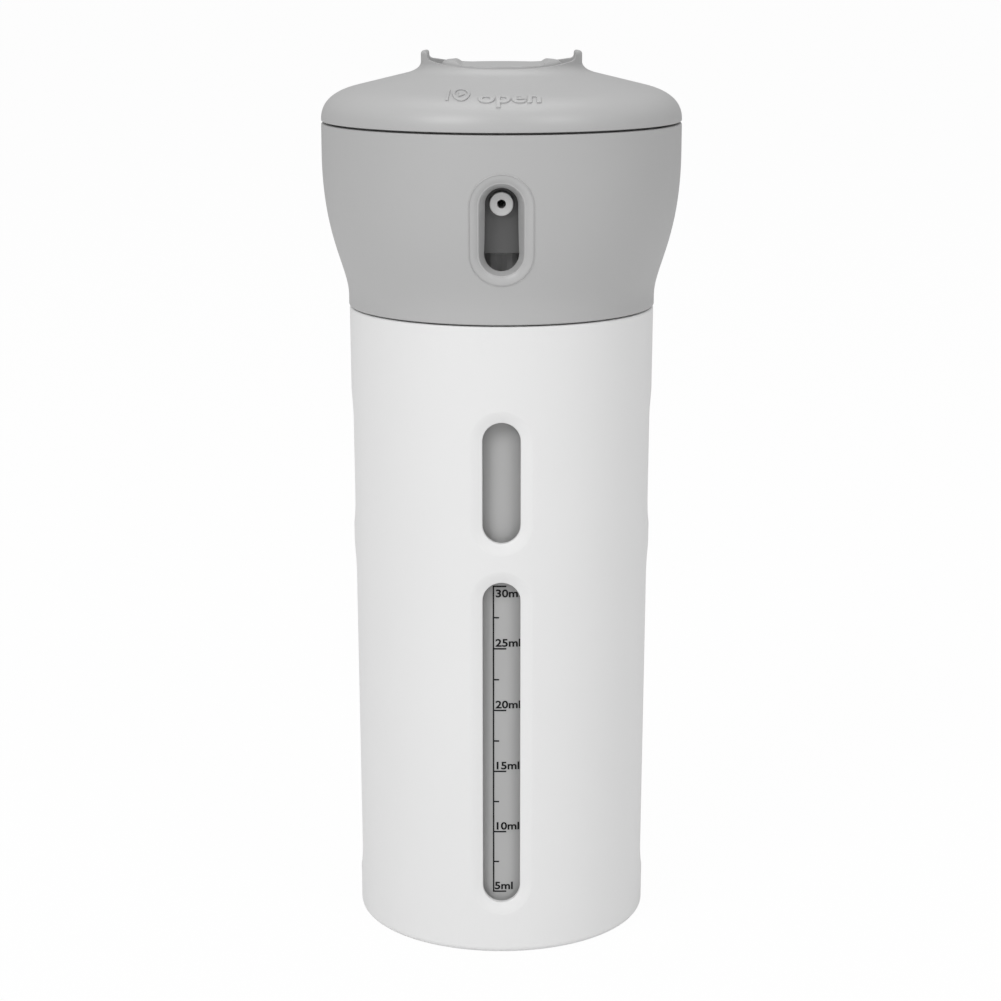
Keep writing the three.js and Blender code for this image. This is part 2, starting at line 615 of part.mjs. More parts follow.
// Pale insert in the actuator's front; its tip stands behind the slot
function nozzle() {
  const face = ACTUATOR_FACE + SEAT_GAP;
  const back = SEAT_BACK + SEAT_GAP;
  const bore = barForward(NOZZLE_BORE_R, back - CUT_PAST, NOZZLE_TIP + CUT_PAST, NOZZLE_Z, TUBE_SIDES);
  return barForward(NOZZLE_R, face, NOZZLE_TIP, NOZZLE_Z, SMALL_SIDES)
    .add(barForward(NOZZLE_SPIGOT_R, back, face + NOZZLE_SPIGOT_R, NOZZLE_Z, BARREL_SIDES))
    .subtract(bore);
}

function head() {
  const outside = FLANK.getPoints(FLANK_STEPS);
  const lipTop = HEAD_Z + RIM_LIP_HEIGHT;
  const beadRoom = NECK_R + NECK_BEAD + RUN_GAP;
  const mouthZ = HEAD_TOP - MOUTH_DEPTH;
  const inside = outside.filter((p) => p.x - HEAD_WALL > beadRoom + SKIM && p.y < mouthZ - HEAD_WALL)
    .map((p) => [p.x - HEAD_WALL, p.y]).reverse();
  let body = revolve(rounded([
    [RIM_BORE_R, HEAD_Z + RUN_GAP], [RIM_BORE_R + RUN_GAP, HEAD_Z], [RIM_R, HEAD_Z],
    ...outside.map((p) => [p.x, p.y]),
    [HEAD_TOP_R, HEAD_TOP], [MOUTH_BORE_R, HEAD_TOP], [MOUTH_BORE_R, mouthZ],
    ...inside,
    [beadRoom, BODY_HEIGHT + NECK_HEIGHT - HEAD_STEP], [beadRoom, lipTop + NECK_BEAD],
    [RIM_BORE_R, lipTop],
  ]), BIG_SIDES, true);

  // The slot's sleeve reaches in towards the nozzles; then bezel and tapering slot are cut.
  const slot = (wider, radiusAt) => wrap(
    obround(SLOT_WIDTH + 2 * wider, SLOT_BOTTOM - wider, SLOT_TOP + wider, SLOT_SIDE_POINTS),
    radiusAt,
  );
  const sleeve = loft([
    slot(SLOT_SLEEVE_WALL, (z) => headRadius(z) - HEAD_WALL / 2),
    slot(SLOT_SLEEVE_WALL - SLOT_TAPER, () => SLEEVE_R),
  ]);
  const slopeWidth = (1 + BEZEL_PAST) * SLOT_BEZEL;
  const past = SLEEVE_DEPTH / 2; // the cut goes on at the same taper past the sleeve's inner end
  const narrowing = SLOT_TAPER * (1 + past / SLEEVE_DEPTH);
  const cutter = loft([
    slot(slopeWidth, (z) => headRadius(z) + 2 * HEAD_WALL),
    slot(slopeWidth, (z) => headRadius(z) + BEZEL_PAST * BEZEL_DEPTH),
    slot(0, (z) => headRadius(z) - BEZEL_DEPTH),
    slot(-narrowing, () => SLEEVE_R - past),
  ]);
  body = body.add(sleeve).subtract(cutter);

  // Bayonet channels for the lid's lugs, cut from inside
  const inner = MOUTH_BORE_R - CUT_PAST;
  const outer = SPIGOT_R + LUG_OUT + RUN_GAP;
  for (let i = 0; i < LUG_COUNT; i += 1) {
    const closed = 90 + (360 / LUG_COUNT) * i;
    const half = LUG_DEG / 2 + LUG_CLEAR_DEG;
    body = body.subtract(ringSector(inner, outer, closed - half, closed + OPEN_DEG + half,
      LUG_Z - SEAT_GAP, LUG_Z + LUG_HEIGHT + SEAT_GAP, CHANNEL_STEPS));
    body = body.subtract(ringSector(inner, outer, closed + OPEN_DEG - half,
      closed + OPEN_DEG + half, LUG_Z, HEAD_TOP + CUT_PAST, LUG_STEPS));
  }
  return body;
}

// Square spindle outline with rounded edges, made larger by a clearance for its hole
function spindleOutline(larger = 0) {
  const half = SPINDLE / 2 + larger;
  return rounded([
    [-half, -half, SPINDLE_ROUND], [half, -half, SPINDLE_ROUND],
    [half, half, SPINDLE_ROUND], [-half, half, SPINDLE_ROUND],
  ]);
}

function lid() {
  const cornerZ = LID_Z + LID_CORNER;
  const topAt = (r) => cornerZ + (HEAD_TOP_R - r) * LID_SLOPE;
  const under = LID_WALL * Math.hypot(1, LID_SLOPE);
  const guideR = BUTTON_HOLE_R + GUIDE_WALL;
  const spigotBore = SPIGOT_R - SPIGOT_WALL;
  const earZ = LID_Z + EAR_HEIGHT;
  const frontZ = LID_Z + COLLAR_FRONT;
  const collarBore = COLLAR_R - COLLAR_WALL;
  const shoulder = new THREE.QuadraticBezierCurve(
    new THREE.Vector2(HEAD_TOP_R, LID_Z + LID_RIM), new THREE.Vector2(HEAD_TOP_R, cornerZ),
    new THREE.Vector2(HEAD_TOP_R - LID_ROUND, topAt(HEAD_TOP_R - LID_ROUND)),
  ).getPoints(LID_ROUND_STEPS);
  const hollow = new THREE.QuadraticBezierCurve(
    new THREE.Vector2(COLLAR_R + COLLAR_ROUND, topAt(COLLAR_R + COLLAR_ROUND)),
    new THREE.Vector2(COLLAR_R, topAt(COLLAR_R)),
    new THREE.Vector2(COLLAR_R, topAt(COLLAR_R) + COLLAR_ROUND_RISE),
  ).getPoints(COLLAR_ROUND_STEPS);
  let body = revolve(rounded([
    [SPINDLE / 2 - CUT_PAST, LEDGE_Z], [guideR, LEDGE_Z], [guideR, topAt(guideR) - under],
    [spigotBore, topAt(spigotBore) - under, 2], [spigotBore, LID_Z - SPIGOT_DEPTH],
    [SPIGOT_R, LID_Z - SPIGOT_DEPTH], [SPIGOT_R, LID_Z], [HEAD_TOP_R, LID_Z],
    ...[...shoulder, ...hollow].map((p) => [p.x, p.y]), [COLLAR_R, earZ, COLLAR_WALL / 2],
    [collarBore, earZ, COLLAR_WALL / 2], [collarBore, frontZ - WELL_DROP / 3],
    [BUTTON_HOLE_R, frontZ - WELL_DROP], [BUTTON_HOLE_R, LEDGE_TOP],
    [SPINDLE / 2 - CUT_PAST, LEDGE_TOP],
  ]), BIG_SIDES, true);

  // The collar's edge dips at front and back and leaves an ear on each side.
  const scoopR = collarBore - SKIM;
  const half = new THREE.CubicBezierCurve(
    new THREE.Vector2(0, frontZ), new THREE.Vector2(scoopR / 3, frontZ),
    new THREE.Vector2((2 * scoopR) / 3, frontZ), new THREE.Vector2(scoopR, frontZ + COLLAR_SIDE),
  ).getPoints(COLLAR_EDGE_STEPS);
  const outline = [
    ...half, new THREE.Vector2(scoopR, earZ + CUT_PAST),
    new THREE.Vector2(-scoopR, earZ + CUT_PAST),
    ...half.slice(1).reverse().map((p) => new THREE.Vector2(-p.x, p.y)),
  ];
  const scoop = new THREE.ExtrudeGeometry(new THREE.Shape(outline), {
    depth: 4 * COLLAR_R, bevelEnabled: false,
  });
  scoop.translate(0, 0, -2 * COLLAR_R).rotateX(Math.PI / 2);
  body = body.subtract(solid(scoop));

  const hole = raise(spindleOutline(RUN_GAP), LEDGE_Z - CUT_PAST, LEDGE_TOP + CUT_PAST);
  body = body.subtract(hole);
  for (let i = 0; i < LUG_COUNT; i += 1) {
    const middle = 90 + (360 / LUG_COUNT) * i;
    body = body.add(ringSector(SPIGOT_R - SPIGOT_WALL / 2, SPIGOT_R + LUG_OUT,
      middle - LUG_DEG / 2, middle + LUG_DEG / 2, LUG_Z, LUG_Z + LUG_HEIGHT, LUG_STEPS));
  }
  return body;
}

function buttonCap() {
  const top = BUTTON_TOP + GRIP_HEIGHT;
  let body = revolve(rounded([
    [0, BUTTON_UNDER], [BUTTON_BORE_R, BUTTON_UNDER], [BUTTON_BORE_R, SKIRT_Z],
    [BUTTON_R, SKIRT_Z], [BUTTON_R, top, BUTTON_ROUND], [0, top],
  ]), BUTTON_SIDES);
  // The top is hollowed from front to back between two rounded grips.
  const half = GRIP_SPAN / 2;
  const wide = half + GRIP_LEAN;
  const scoopOutline = rounded([
    [-half, BUTTON_TOP, GRIP_LEAN], [half, BUTTON_TOP, GRIP_LEAN], [wide, top + SKIM],
    [wide, top + CUT_PAST], [-wide, top + CUT_PAST], [-wide, top + SKIM],
  ]);
  const scoop = new THREE.ExtrudeGeometry(new THREE.Shape(scoopOutline), {
    depth: 4 * BUTTON_R, bevelEnabled: false,
  });
  scoop.translate(0, 0, -2 * BUTTON_R).rotateX(Math.PI / 2);
  body = body.subtract(solid(scoop));
  const socket = rod(SOCKET_R, SKIRT_Z, BUTTON_UNDER + BUTTON_WALL / 2, SMALL_SIDES)
    .subtract(raise(spindleOutline(RUN_GAP), SKIRT_Z - CUT_PAST, BUTTON_UNDER));
  return body.add(socket);
}

// Spindle that slides in the lid's square hole, with the arm that reaches over the front pump
function presserArm() {
  const spread = Math.acos((ARM_HUB_R - ARM_TIP_R) / PUMP_RADIUS);
  const arc = (y, radius, from, to) => Array.from({ length: ARM_STEPS + 1 }, (_, i) => {
    const a = THREE.MathUtils.lerp(from, to, i / ARM_STEPS);
    return new THREE.Vector2(radius * Math.sin(a), y - radius * Math.cos(a));
  });
  const outline = [
    ...arc(-PUMP_RADIUS, ARM_TIP_R, -spread, spread),
    ...arc(0, ARM_HUB_R, spread, 2 * Math.PI - spread),
  ];
  return raise(outline, ARM_Z, ARM_Z + ARM_THICK)
    .add(raise(spindleOutline(), ARM_Z + ARM_THICK / 2, BUTTON_UNDER - SEAT_GAP));
}

function buttonSpring() {
  return spring((SOCKET_R + BUTTON_BORE_R) / 2, LEDGE_TOP + SEAT_GAP, BUTTON_UNDER - SEAT_GAP,
    BUTTON_SPRING_TURNS, BUTTON_SPRING_WIRE, BUTTON_SPRING_STEPS);
}

const FINISHES = {
  white: { color: 0xeaeaea, roughness: 0.45, metalness: 0 },
  grey: { color: 0xb4b4b4, roughness: 0.5, metalness: 0 },
  dark: { color: 0x7c7c7c, roughness: 0.5, metalness: 0 },
  frosted: { color: 0xc9cdcf, roughness: 0.35, metalness: 0, transparent: true, opacity: 0.5 },
  natural: { color: 0xe4e2dc, roughness: 0.5, metalness: 0 },
  rubber: { color: 0x8d8f91, roughness: 0.8, metalness: 0 },
  steel: { color: 0xb9bcc0, roughness: 0.25, metalness: 1 },
};

// One mesh of a solid, with its own name and material
function mesh(name, body, finish) {
  const { vertProperties, triVerts } = body.getMesh();
  const geometry = new THREE.BufferGeometry();
  geometry.setAttribute('position', new THREE.BufferAttribute(vertProperties, 3));
  geometry.setIndex(new THREE.BufferAttribute(triVerts, 1));
  geometry.computeVertexNormals();
  const part = new THREE.Mesh(geometry, new THREE.MeshStandardMaterial(FINISHES[finish]));
  part.name = name;
  return part;
}

const group = new THREE.Group();
group.add(
  mesh('shell', cup(), 'white'),
  mesh('rack', rack(), 'white'),
  mesh('head', head(), 'grey'),
  mesh('lid', lid(), 'grey'),
  mesh('button_cap', buttonCap(), 'grey'),
  mesh('presser_arm', presserArm(), 'grey'),
  mesh('button_spring', buttonSpring(), 'steel'),
);

// The four bottles with their pumps stand a quarter turn apart; number 1 is at the front.
const STATION = [
  ['bottle', bottle(), 'frosted'],
  ['gasket', gasket(), 'rubber'],
  ['closure', closure(), 'dark'],
  ['pump_housing', pumpHousing(), 'natural'],
  ['valve_ball', valveBall(), 'steel'],
  ['dip_tube', dipTube(), 'natural'],
  ['pump_spring', pumpSpring(), 'steel'],
  ['piston', piston(), 'natural'],
  ['stem', stem(), 'natural'],
  ['actuator', actuator(), 'dark'],
  ['nozzle', nozzle(), 'white'],
];
for (let n = 1; n <= 4; n += 1) {
  const station = new THREE.Group();
  station.rotation.z = ((n - 1) * Math.PI) / 2;
  for (const [name, body, finish] of STATION) station.add(mesh(`${name}_${n}`, body, finish));
  group.add(station);
}

export default group;
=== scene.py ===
# %% [markdown]
# # A four-in-one travel lotion dispenser
# The dispenser is a white cup with level windows, a grey head that turns on it, and a grey lid
# with a press button. Behind the windows stand four quarter-round bottles, each with its own
# pump. The frame already holds every piece at its real size and place. This lesson dresses it:
# it rebuilds the visible pieces with fine surfaces, prints the level scale, and gives each
# piece a moulded, frosted or drawn finish.

# %% Load the frame
import json
import math

import bmesh
import bpy
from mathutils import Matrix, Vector


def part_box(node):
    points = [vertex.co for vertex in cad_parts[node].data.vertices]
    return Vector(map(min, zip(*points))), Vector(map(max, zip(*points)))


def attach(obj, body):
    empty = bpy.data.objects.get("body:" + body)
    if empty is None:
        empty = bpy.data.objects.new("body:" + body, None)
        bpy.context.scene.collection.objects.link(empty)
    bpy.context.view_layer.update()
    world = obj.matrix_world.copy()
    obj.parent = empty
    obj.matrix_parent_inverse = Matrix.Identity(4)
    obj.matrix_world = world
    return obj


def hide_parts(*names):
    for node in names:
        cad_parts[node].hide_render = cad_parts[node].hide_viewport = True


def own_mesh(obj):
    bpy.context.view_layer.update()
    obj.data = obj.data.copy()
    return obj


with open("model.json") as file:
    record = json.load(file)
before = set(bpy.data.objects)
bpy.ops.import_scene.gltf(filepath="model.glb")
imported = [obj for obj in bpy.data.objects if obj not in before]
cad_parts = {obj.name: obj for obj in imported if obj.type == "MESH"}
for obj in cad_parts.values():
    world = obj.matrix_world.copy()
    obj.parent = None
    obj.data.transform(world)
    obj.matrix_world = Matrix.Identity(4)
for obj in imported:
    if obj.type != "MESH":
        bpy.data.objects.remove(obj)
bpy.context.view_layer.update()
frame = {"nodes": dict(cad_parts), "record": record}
print("nodes in the frame:", len(frame["nodes"]))

# %% [markdown]
# ## Sizes
# The lengths are written in millimetres, as on a drawing, and turned into metres when a mesh is
# made. What the frame can tell is read from the boxes of its solids, so that the fine pieces
# stay on the same surfaces. The rest stands in the cell that first needs it.

# %% Sizes that several pieces share
MM = 0.001
EDGE = 0.3  # rounding of the moulded edges
STROKE = 6.0  # how far the button and a pump go down
STATIONS = (1, 2, 3, 4)


def box_mm(node):
    """Lowest and highest corner of a solid's box, in millimetres."""
    low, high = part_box(node)
    return low / MM, high / MM


head_low, head_high = box_mm("head")
HEAD_Z, HEAD_TOP, HEAD_TOP_R = head_low.z, head_high.z, head_high.x
print("head from", round(HEAD_Z, 2), "to", round(HEAD_TOP, 2), "mm, radius", round(HEAD_TOP_R, 2))

# %% [markdown]
# ## Making meshes
# Nearly every piece here was moulded on a lathe-turned core, so the main tool is a profile
# turned about the axis. A corner of the profile that has a radius becomes a true arc, because
# an edge with no rounding catches no light and looks like a drawing.

# %% Rounded outlines
def rounded(corners, steps=6):
    """Points of an outline of (x, y, radius) corners, with arcs where a radius is given."""
    points = []
    for i, corner in enumerate(corners):
        here = Vector(corner[:2])
        radius = corner[2] if len(corner) > 2 else 0
        if not radius:
            points.append(here)
            continue
        back = Vector(corners[i - 1][:2]) - here
        ahead = Vector(corners[(i + 1) % len(corners)][:2]) - here
        half = back.angle(ahead) / 2
        reach = min(radius / math.tan(half), 0.49 * back.length, 0.49 * ahead.length)
        true_radius = reach * math.tan(half)
        middle = here + (back.normalized() + ahead.normalized()).normalized() * (
            true_radius / math.sin(half))
        start = here + back.normalized() * reach - middle
        end = here + ahead.normalized() * reach - middle
        sweep = start.angle_signed(end)
        for step in range(steps + 1):
            turn = -sweep * step / steps
            points.append(middle + Vector((
                start.x * math.cos(turn) - start.y * math.sin(turn),
                start.x * math.sin(turn) + start.y * math.cos(turn))))
    return points


print("corner rounded into", len(rounded([(0, 0), (1, 0, 0.2), (1, 1)])) - 2, "points")

# %% [markdown]
# A mesh is then a list of points and faces. A loft joins rings that all have the same count of
# points, a turned piece is its own kind of loft about the axis, and a prism is a loft of two.

# %% Lofted and turned meshes
def placed(name, data):
    """An object that shows its data, linked into the scene."""
    obj = bpy.data.objects.new(name, data)
    bpy.context.scene.collection.objects.link(obj)
    return obj


def new_object(name, vertices, faces):
    """A mesh object of points in millimetres, with its faces turned outwards."""
    mesh = bpy.data.meshes.new(name)
    mesh.from_pydata([tuple(MM * c for c in v) for v in vertices], [], faces)
    work = bmesh.new()
    work.from_mesh(mesh)
    bmesh.ops.remove_doubles(work, verts=work.verts, dist=1e-8)
    bmesh.ops.recalc_face_normals(work, faces=work.faces)
    work.to_mesh(mesh)
    work.free()
    return placed(name, mesh)


def loft(name, rings):
    """Closed mesh through rings of points that all have the same count."""
    count = len(rings[0])
    vertices = [tuple(p) for ring in rings for p in ring]
    faces = [tuple(reversed(range(count)))]
    for row in range(len(rings) - 1):
        for i in range(count):
            j = (i + 1) % count
            faces.append((row * count + i, row * count + j,
                          (row + 1) * count + j, (row + 1) * count + i))
    faces.append(tuple(range((len(rings) - 1) * count, len(rings) * count)))
    return new_object(name, vertices, faces)


def revolve(name, profile, sides=180, closed=False, middle=(0.0, 0.0)):
    """A profile of (radius, height) points turned about a vertical axis."""
    vertices, faces = [], []
    for k in range(sides):
        angle = 2 * math.pi * k / sides
        for r, z in profile:
            vertices.append((middle[0] + r * math.cos(angle), middle[1] + r * math.sin(angle), z))
    rows = len(profile)
    for k in range(sides):
        here, there = k * rows, ((k + 1) % sides) * rows
        for i in range(rows if closed else rows - 1):
            j = (i + 1) % rows
            corners = [here + i, there + i, there + j, here + j]
            if profile[i][0] < 1e-9:
                corners.remove(there + i)
            if profile[j][0] < 1e-9:
                corners.remove(there + j)
            if len(corners) > 2:
                faces.append(tuple(corners))
    return new_object(name, vertices, faces)


def prism(name, outline, bottom, top):
    """A flat (x, y) outline raised along Z."""
    return loft(name, [[(x, y, z) for x, y in outline] for z in (bottom, top)])


def flat_piece(name, outline, thick):
    """A prism about its own middle, left in millimetres until it is laid on a surface."""
    flat = prism(name, outline, -thick / 2, thick / 2)
    for v in flat.data.vertices:
        v.co = v.co / MM
    return flat


print("lofts, turned pieces and prisms ready")

# %% [markdown]
# A moulded piece is seldom one simple form, so pieces are cut and joined with exact booleans.
# What stands four times round the axis is made once and turned. Shading is smooth, except where
# two faces meet at a real edge, and the large faces lead the normals, so that flats stay flat.

# %% Booleans, copies and shading
def combine(target, others, operation):
    """Cuts or joins meshes with the exact solver, and removes the tools."""
    for other in others:
        step = target.modifiers.new("step", "BOOLEAN")
        step.operation, step.solver, step.object = operation, "EXACT", other
    graph = bpy.context.evaluated_depsgraph_get()
    mesh = bpy.data.meshes.new_from_object(target.evaluated_get(graph))
    target.modifiers.clear()
    target.data = mesh
    for other in others:
        bpy.data.objects.remove(other)
    return target


def quarter_turns(obj):
    """The piece and three copies, a quarter turn apart, applied to their meshes."""
    copies = [obj]
    for k in range(1, len(STATIONS)):
        twin = obj.copy()
        twin.data = obj.data.copy()
        bpy.context.scene.collection.objects.link(twin)
        turn_mesh(twin, k * math.pi / 2)
        copies.append(twin)
    return copies


def turn_mesh(obj, angle):
    """Turns the mesh itself about the vertical axis, so its object stays at the origin."""
    cos, sin = math.cos(angle), math.sin(angle)
    for vertex in obj.data.vertices:
        x, y, z = vertex.co
        vertex.co = (x * cos - y * sin, x * sin + y * cos, z)


def smooth(obj, sharp_deg=32):
    """Smooth shading that keeps real edges, with normals led by the large faces."""
    obj.data.shade_smooth()
    obj.data.set_sharp_from_angle(angle=math.radians(sharp_deg))
    weigh = obj.modifiers.new("normals", "WEIGHTED_NORMAL")
    weigh.keep_sharp = True
    return obj


print("mesh tools ready")

# %% [markdown]
# ## Finishes as expressions
# A finish is a small sum: a base colour, a little mottling from the melt, a roughness that
# wanders, and a fine texture from the mould. Written as node links it is hard to read, so a
# small class lets a socket take part in ordinary arithmetic, and the nodes follow from it.

# %% A socket that can be reckoned with
def feed(tree, slot, value):
    """A link where the value is a wire, and a plain setting where it isn't."""
    if isinstance(value, Wire):
        tree.links.new(value.socket, slot)
    else:
        slot.default_value = value


class Wire:
    """Wraps a shader socket, so that + - * on it add Math nodes."""

    def __init__(self, tree, socket):
        self.tree, self.socket = tree, socket

    def _math(self, operation, first, second):
        node = self.tree.nodes.new("ShaderNodeMath")
        node.operation = operation
        for slot, value in zip(node.inputs, (first, second)):
            feed(self.tree, slot, value)
        return Wire(self.tree, node.outputs[0])

    def __add__(self, other):
        return self._math("ADD", self, other)

    def __radd__(self, other):
        return self._math("ADD", other, self)

    def __sub__(self, other):
        return self._math("SUBTRACT", self, other)

    def __rsub__(self, other):
        return self._math("SUBTRACT", other, self)

    def __mul__(self, other):
        return self._math("MULTIPLY", self, other)

    def __rmul__(self, other):
        return self._math("MULTIPLY", other, self)


print("sockets can be added and multiplied")

# %% [markdown]
# A finish is then a material with its shader at hand. One method adds any other node and gives
# back its output as a wire. Noise is laid out in object coordinates, which are metres here, so
# a scale of 5000 gives a grain of a fifth of a millimetre.

# %% A finish
class Finish:
    """A material, its principled shader, and one way to add any other node."""

    def __init__(self, name, colour, roughness, **constants):
        self.material = bpy.data.materials.new(name)
        self.material.use_nodes = True
        self.tree = self.material.node_tree
        self.shader = self.tree.nodes["Principled BSDF"]
        self.set("Base Color", (*colour, 1))
        self.set("Roughness", roughness)
        for key, value in constants.items():
            self.set(key.replace("_", " "), value)

    def set(self, socket, value):
        feed(self.tree, self.shader.inputs[socket], value)

    def node(self, kind, output, settings=None, **sockets):
        """Any node: its type, the output wanted, settings, and values or links by socket name."""
        node = self.tree.nodes.new(kind)
        for key, value in (settings or {}).items():
            setattr(node, key, value)
        for key, value in sockets.items():
            feed(self.tree, node.inputs[key.replace("_", " ")], value)
        return Wire(self.tree, node.outputs[output])

    def place(self, stretch=(1, 1, 1)):
        """Object coordinates in metres, stretched for grain that runs one way."""
        spot = self.node("ShaderNodeTexCoord", "Object")
        return self.node("ShaderNodeMapping", "Vector", Vector=spot, Scale=stretch)

    def noise(self, scale, detail, stretch=(1, 1, 1)):
        return self.node("ShaderNodeTexNoise", "Fac", Vector=self.place(stretch), Scale=scale,
                         Detail=detail)

    def tint(self, amount, dark, light):
        """Colour between two shades, led by an amount from 0 to 1."""
        mix = self.tree.nodes.new("ShaderNodeMix")
        mix.data_type = "RGBA"
        self.tree.links.new(amount.socket, mix.inputs["Factor"])
        mix.inputs["A"].default_value = (*dark, 1)
        mix.inputs["B"].default_value = (*light, 1)
        self.set("Base Color", Wire(self.tree, mix.outputs["Result"]))

    def relief(self, height, distance, strength=0.4):
        self.set("Normal", self.node("ShaderNodeBump", "Normal", Height=height,
                                     Distance=distance, Strength=strength))


def shade(colour, factor):
    return tuple(min(c * factor, 1.0) for c in colour)


print("a lighter grey of 0.4:", round(shade((0.4,), 1.1)[0], 2))

# %% [markdown]
# ### Moulded plastic
# The cup, head, lid and button are injection moulded with a spark-eroded satin texture: a
# grain of about a fifth of a millimetre, too fine to see but wide enough to spread the
# highlights. Very slow mottling keeps the large walls from looking computed.

# %% Moulded plastics
def moulded(name, colour, roughness, grain=1.0, mottle=0.015):
    finish = Finish(name, colour, roughness)
    slow = finish.noise(38.0, 2.0)
    fine = finish.noise(5200.0, 2.0)
    finish.tint(slow, shade(colour, 1 - mottle), shade(colour, 1 + mottle))
    finish.set("Roughness", roughness + 0.08 * (slow - 0.5) + 0.06 * (fine - 0.5))
    finish.relief(fine, 0.00003 * grain)
    return finish.material


CUP_WHITE = moulded("cup_plastic", (0.80, 0.80, 0.80), 0.48)
HEAD_GREY = moulded("head_plastic", (0.455, 0.455, 0.455), 0.4)
INNER_GREY = moulded("inner_plastic", (0.4, 0.4, 0.4), 0.5)
# painted shade: near-black plastic for the plate that keeps the slot behind the nozzle dark
SHADE_PLATE_GREY = moulded("shade_plate_plastic", (0.13, 0.13, 0.13), 0.5)
PUMP_WHITE = moulded("pump_plastic", (0.78, 0.78, 0.775), 0.36, grain=0.5)
NATURAL = moulded("natural_plastic", (0.70, 0.69, 0.65), 0.42, grain=0.6, mottle=0.03)
RUBBER = moulded("gasket_rubber", (0.30, 0.305, 0.31), 0.8, grain=2.0, mottle=0.06)
print("moulded finishes:", [m.name for m in (CUP_WHITE, HEAD_GREY, INNER_GREY, SHADE_PLATE_GREY,
                                             PUMP_WHITE, NATURAL, RUBBER)])

# %% [markdown]
# ### Frosted bottle, ink and spring wire
# The bottles are blown from a clear plastic with a frosted skin, so they read as a soft grey
# behind the windows. The blown wall is never quite even, which a slow wave shows. The scale is
# black pad-printed ink, with slightly ragged cover. Spring wire is drawn, so its lines run
# along it.

# %% Bottle, ink and steel
def frosted():
    finish = Finish("bottle_plastic", (0.51, 0.51, 0.51), 0.42, Transmission_Weight=0.18,
                    IOR=1.49)
    wave = finish.noise(90.0, 1.0, stretch=(1, 1, 0.25))
    frost = finish.noise(3600.0, 3.0)
    finish.tint(wave, (0.48, 0.48, 0.478), (0.54, 0.54, 0.538))
    finish.set("Roughness", 0.38 + 0.12 * frost)
    finish.relief(wave + 0.05 * frost, 0.0002, 0.25)
    return finish.material


def ink():
    finish = Finish("print_ink", (0.012, 0.012, 0.013), 0.7, Specular_IOR_Level=0.15)
    cover = finish.noise(7000.0, 2.0)
    finish.tint(cover, (0.008, 0.008, 0.009), (0.02, 0.02, 0.021))
    finish.set("Roughness", 0.62 + 0.16 * cover)
    return finish.material


def drawn_steel():
    finish = Finish("spring_steel", (0.56, 0.57, 0.58), 0.28, Metallic=1.0)
    lines = finish.noise(2600.0, 3.0, stretch=(1, 1, 6))
    finish.tint(lines, (0.48, 0.49, 0.50), (0.62, 0.63, 0.64))
    finish.set("Roughness", 0.2 + 0.18 * lines)
    finish.relief(lines, 0.00002)
    return finish.material


FROSTED, INK, STEEL = frosted(), ink(), drawn_steel()
print("other finishes:", [m.name for m in (FROSTED, INK, STEEL)])

# %% [markdown]
# Each piece takes the finish of its slot in the record, rides on the body that carries it, and
# says which solids it stands for, so that they are hidden when the piece takes their place.

# %% Dressing a piece
MATERIAL_OF_SLOT = {
    "cup_plastic": CUP_WHITE, "head_plastic": HEAD_GREY, "bottle_plastic": FROSTED,
    "pump_plastic": PUMP_WHITE, "inner_plastic": INNER_GREY, "natural_plastic": NATURAL,
    "gasket_rubber": RUBBER, "spring_steel": STEEL,
}


def dress(obj, slot, body, *nodes, material=None):
    """Gives a piece its finish, the body it moves with, and the nodes it stands for."""
    obj.data.materials.clear()
    obj.data.materials.append(material or MATERIAL_OF_SLOT[slot])
    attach(obj, body)
    if nodes:
        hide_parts(*nodes)
    return obj


print("finishes by slot:", sorted(MATERIAL_OF_SLOT))

# %% [markdown]
# ## Slots and windows that follow the wall
# A window's sloping border follows the round wall, so its outline can't be cut with a straight
# punch. The tool is a loft: each layer is the same slot outline, grown or shrunk, laid on the
# wall at its own depth. The last layers follow a quarter circle, which rounds the lip.

# %% Wrapped slot tools
def obround(width, bottom, top, side_points=24, arc_steps=20):
    """Upright slot outline as (x, z) points."""
    r = width / 2
    run = top - bottom - width

    def end(start, z):
        angles = [start + math.pi * i / arc_steps for i in range(arc_steps + 1)]
        return [(r * math.cos(a), z + r * math.sin(a)) for a in angles]

    def side(x, z, way):
        return [(x, z + way * run * i / side_points) for i in range(1, side_points)]
    return (end(0.0, top - r) + side(-r, top - r, -1)
            + end(math.pi, bottom + r) + side(r, bottom + r, 1))


def wrapped(outline, radius_at, inward):
    """Lays an outline on the front of a turned wall, at a depth under its surface."""
    return [(x, -math.sqrt((radius_at(z) - inward) ** 2 - x * x), z) for x, z in outline]


def bezel_layers(width, depth):
    """(grow, inward) steps from outside the wall, down the slope and round the lip."""
    edge, fall = EDGE, depth / width
    start, skim, clear, lip_steps = width + 1.2 * edge, 0.02, 2.0, 4
    layers = [(start, -clear), (start, -skim)]
    layers.append((width + 0.3 * edge, skim / 2 + 0.15 * edge * math.atan(fall)))
    layers.append((width - 0.9 * edge, 0.9 * edge * fall))
    layers.append((width / 2, depth / 2))
    for i in range(lip_steps + 1):
        a = (math.pi / 2) * i / lip_steps
        layers.append((edge * (1 - math.sin(a)), depth + edge * (1 - math.cos(a)) - 0.1 * edge))
    return layers


print("layers of a border:", len(bezel_layers(2.0, 0.5)))

# %% [markdown]
# The cup's wall widens a little upwards, so that the cup leaves its mould. A window has a lower
# part for the level scale and, above a bridge, an upper part for the rest of the bottle.

# %% Window tool
NECK_HEIGHT = 6.5
NECK_TOP = box_mm("shell")[1].z
BODY_HEIGHT = NECK_TOP - NECK_HEIGHT
BODY_R, BODY_DRAFT, SHELL_WALL = 29.0, 0.9, 1.7
BASE_R = BODY_R - BODY_DRAFT
WINDOW_WIDTH = 7.0
WINDOWS = [(10.05, 73.1), (80.55, 103.25)]
BEZEL_WIDTH, BEZEL_DEPTH = 2.1, 0.75


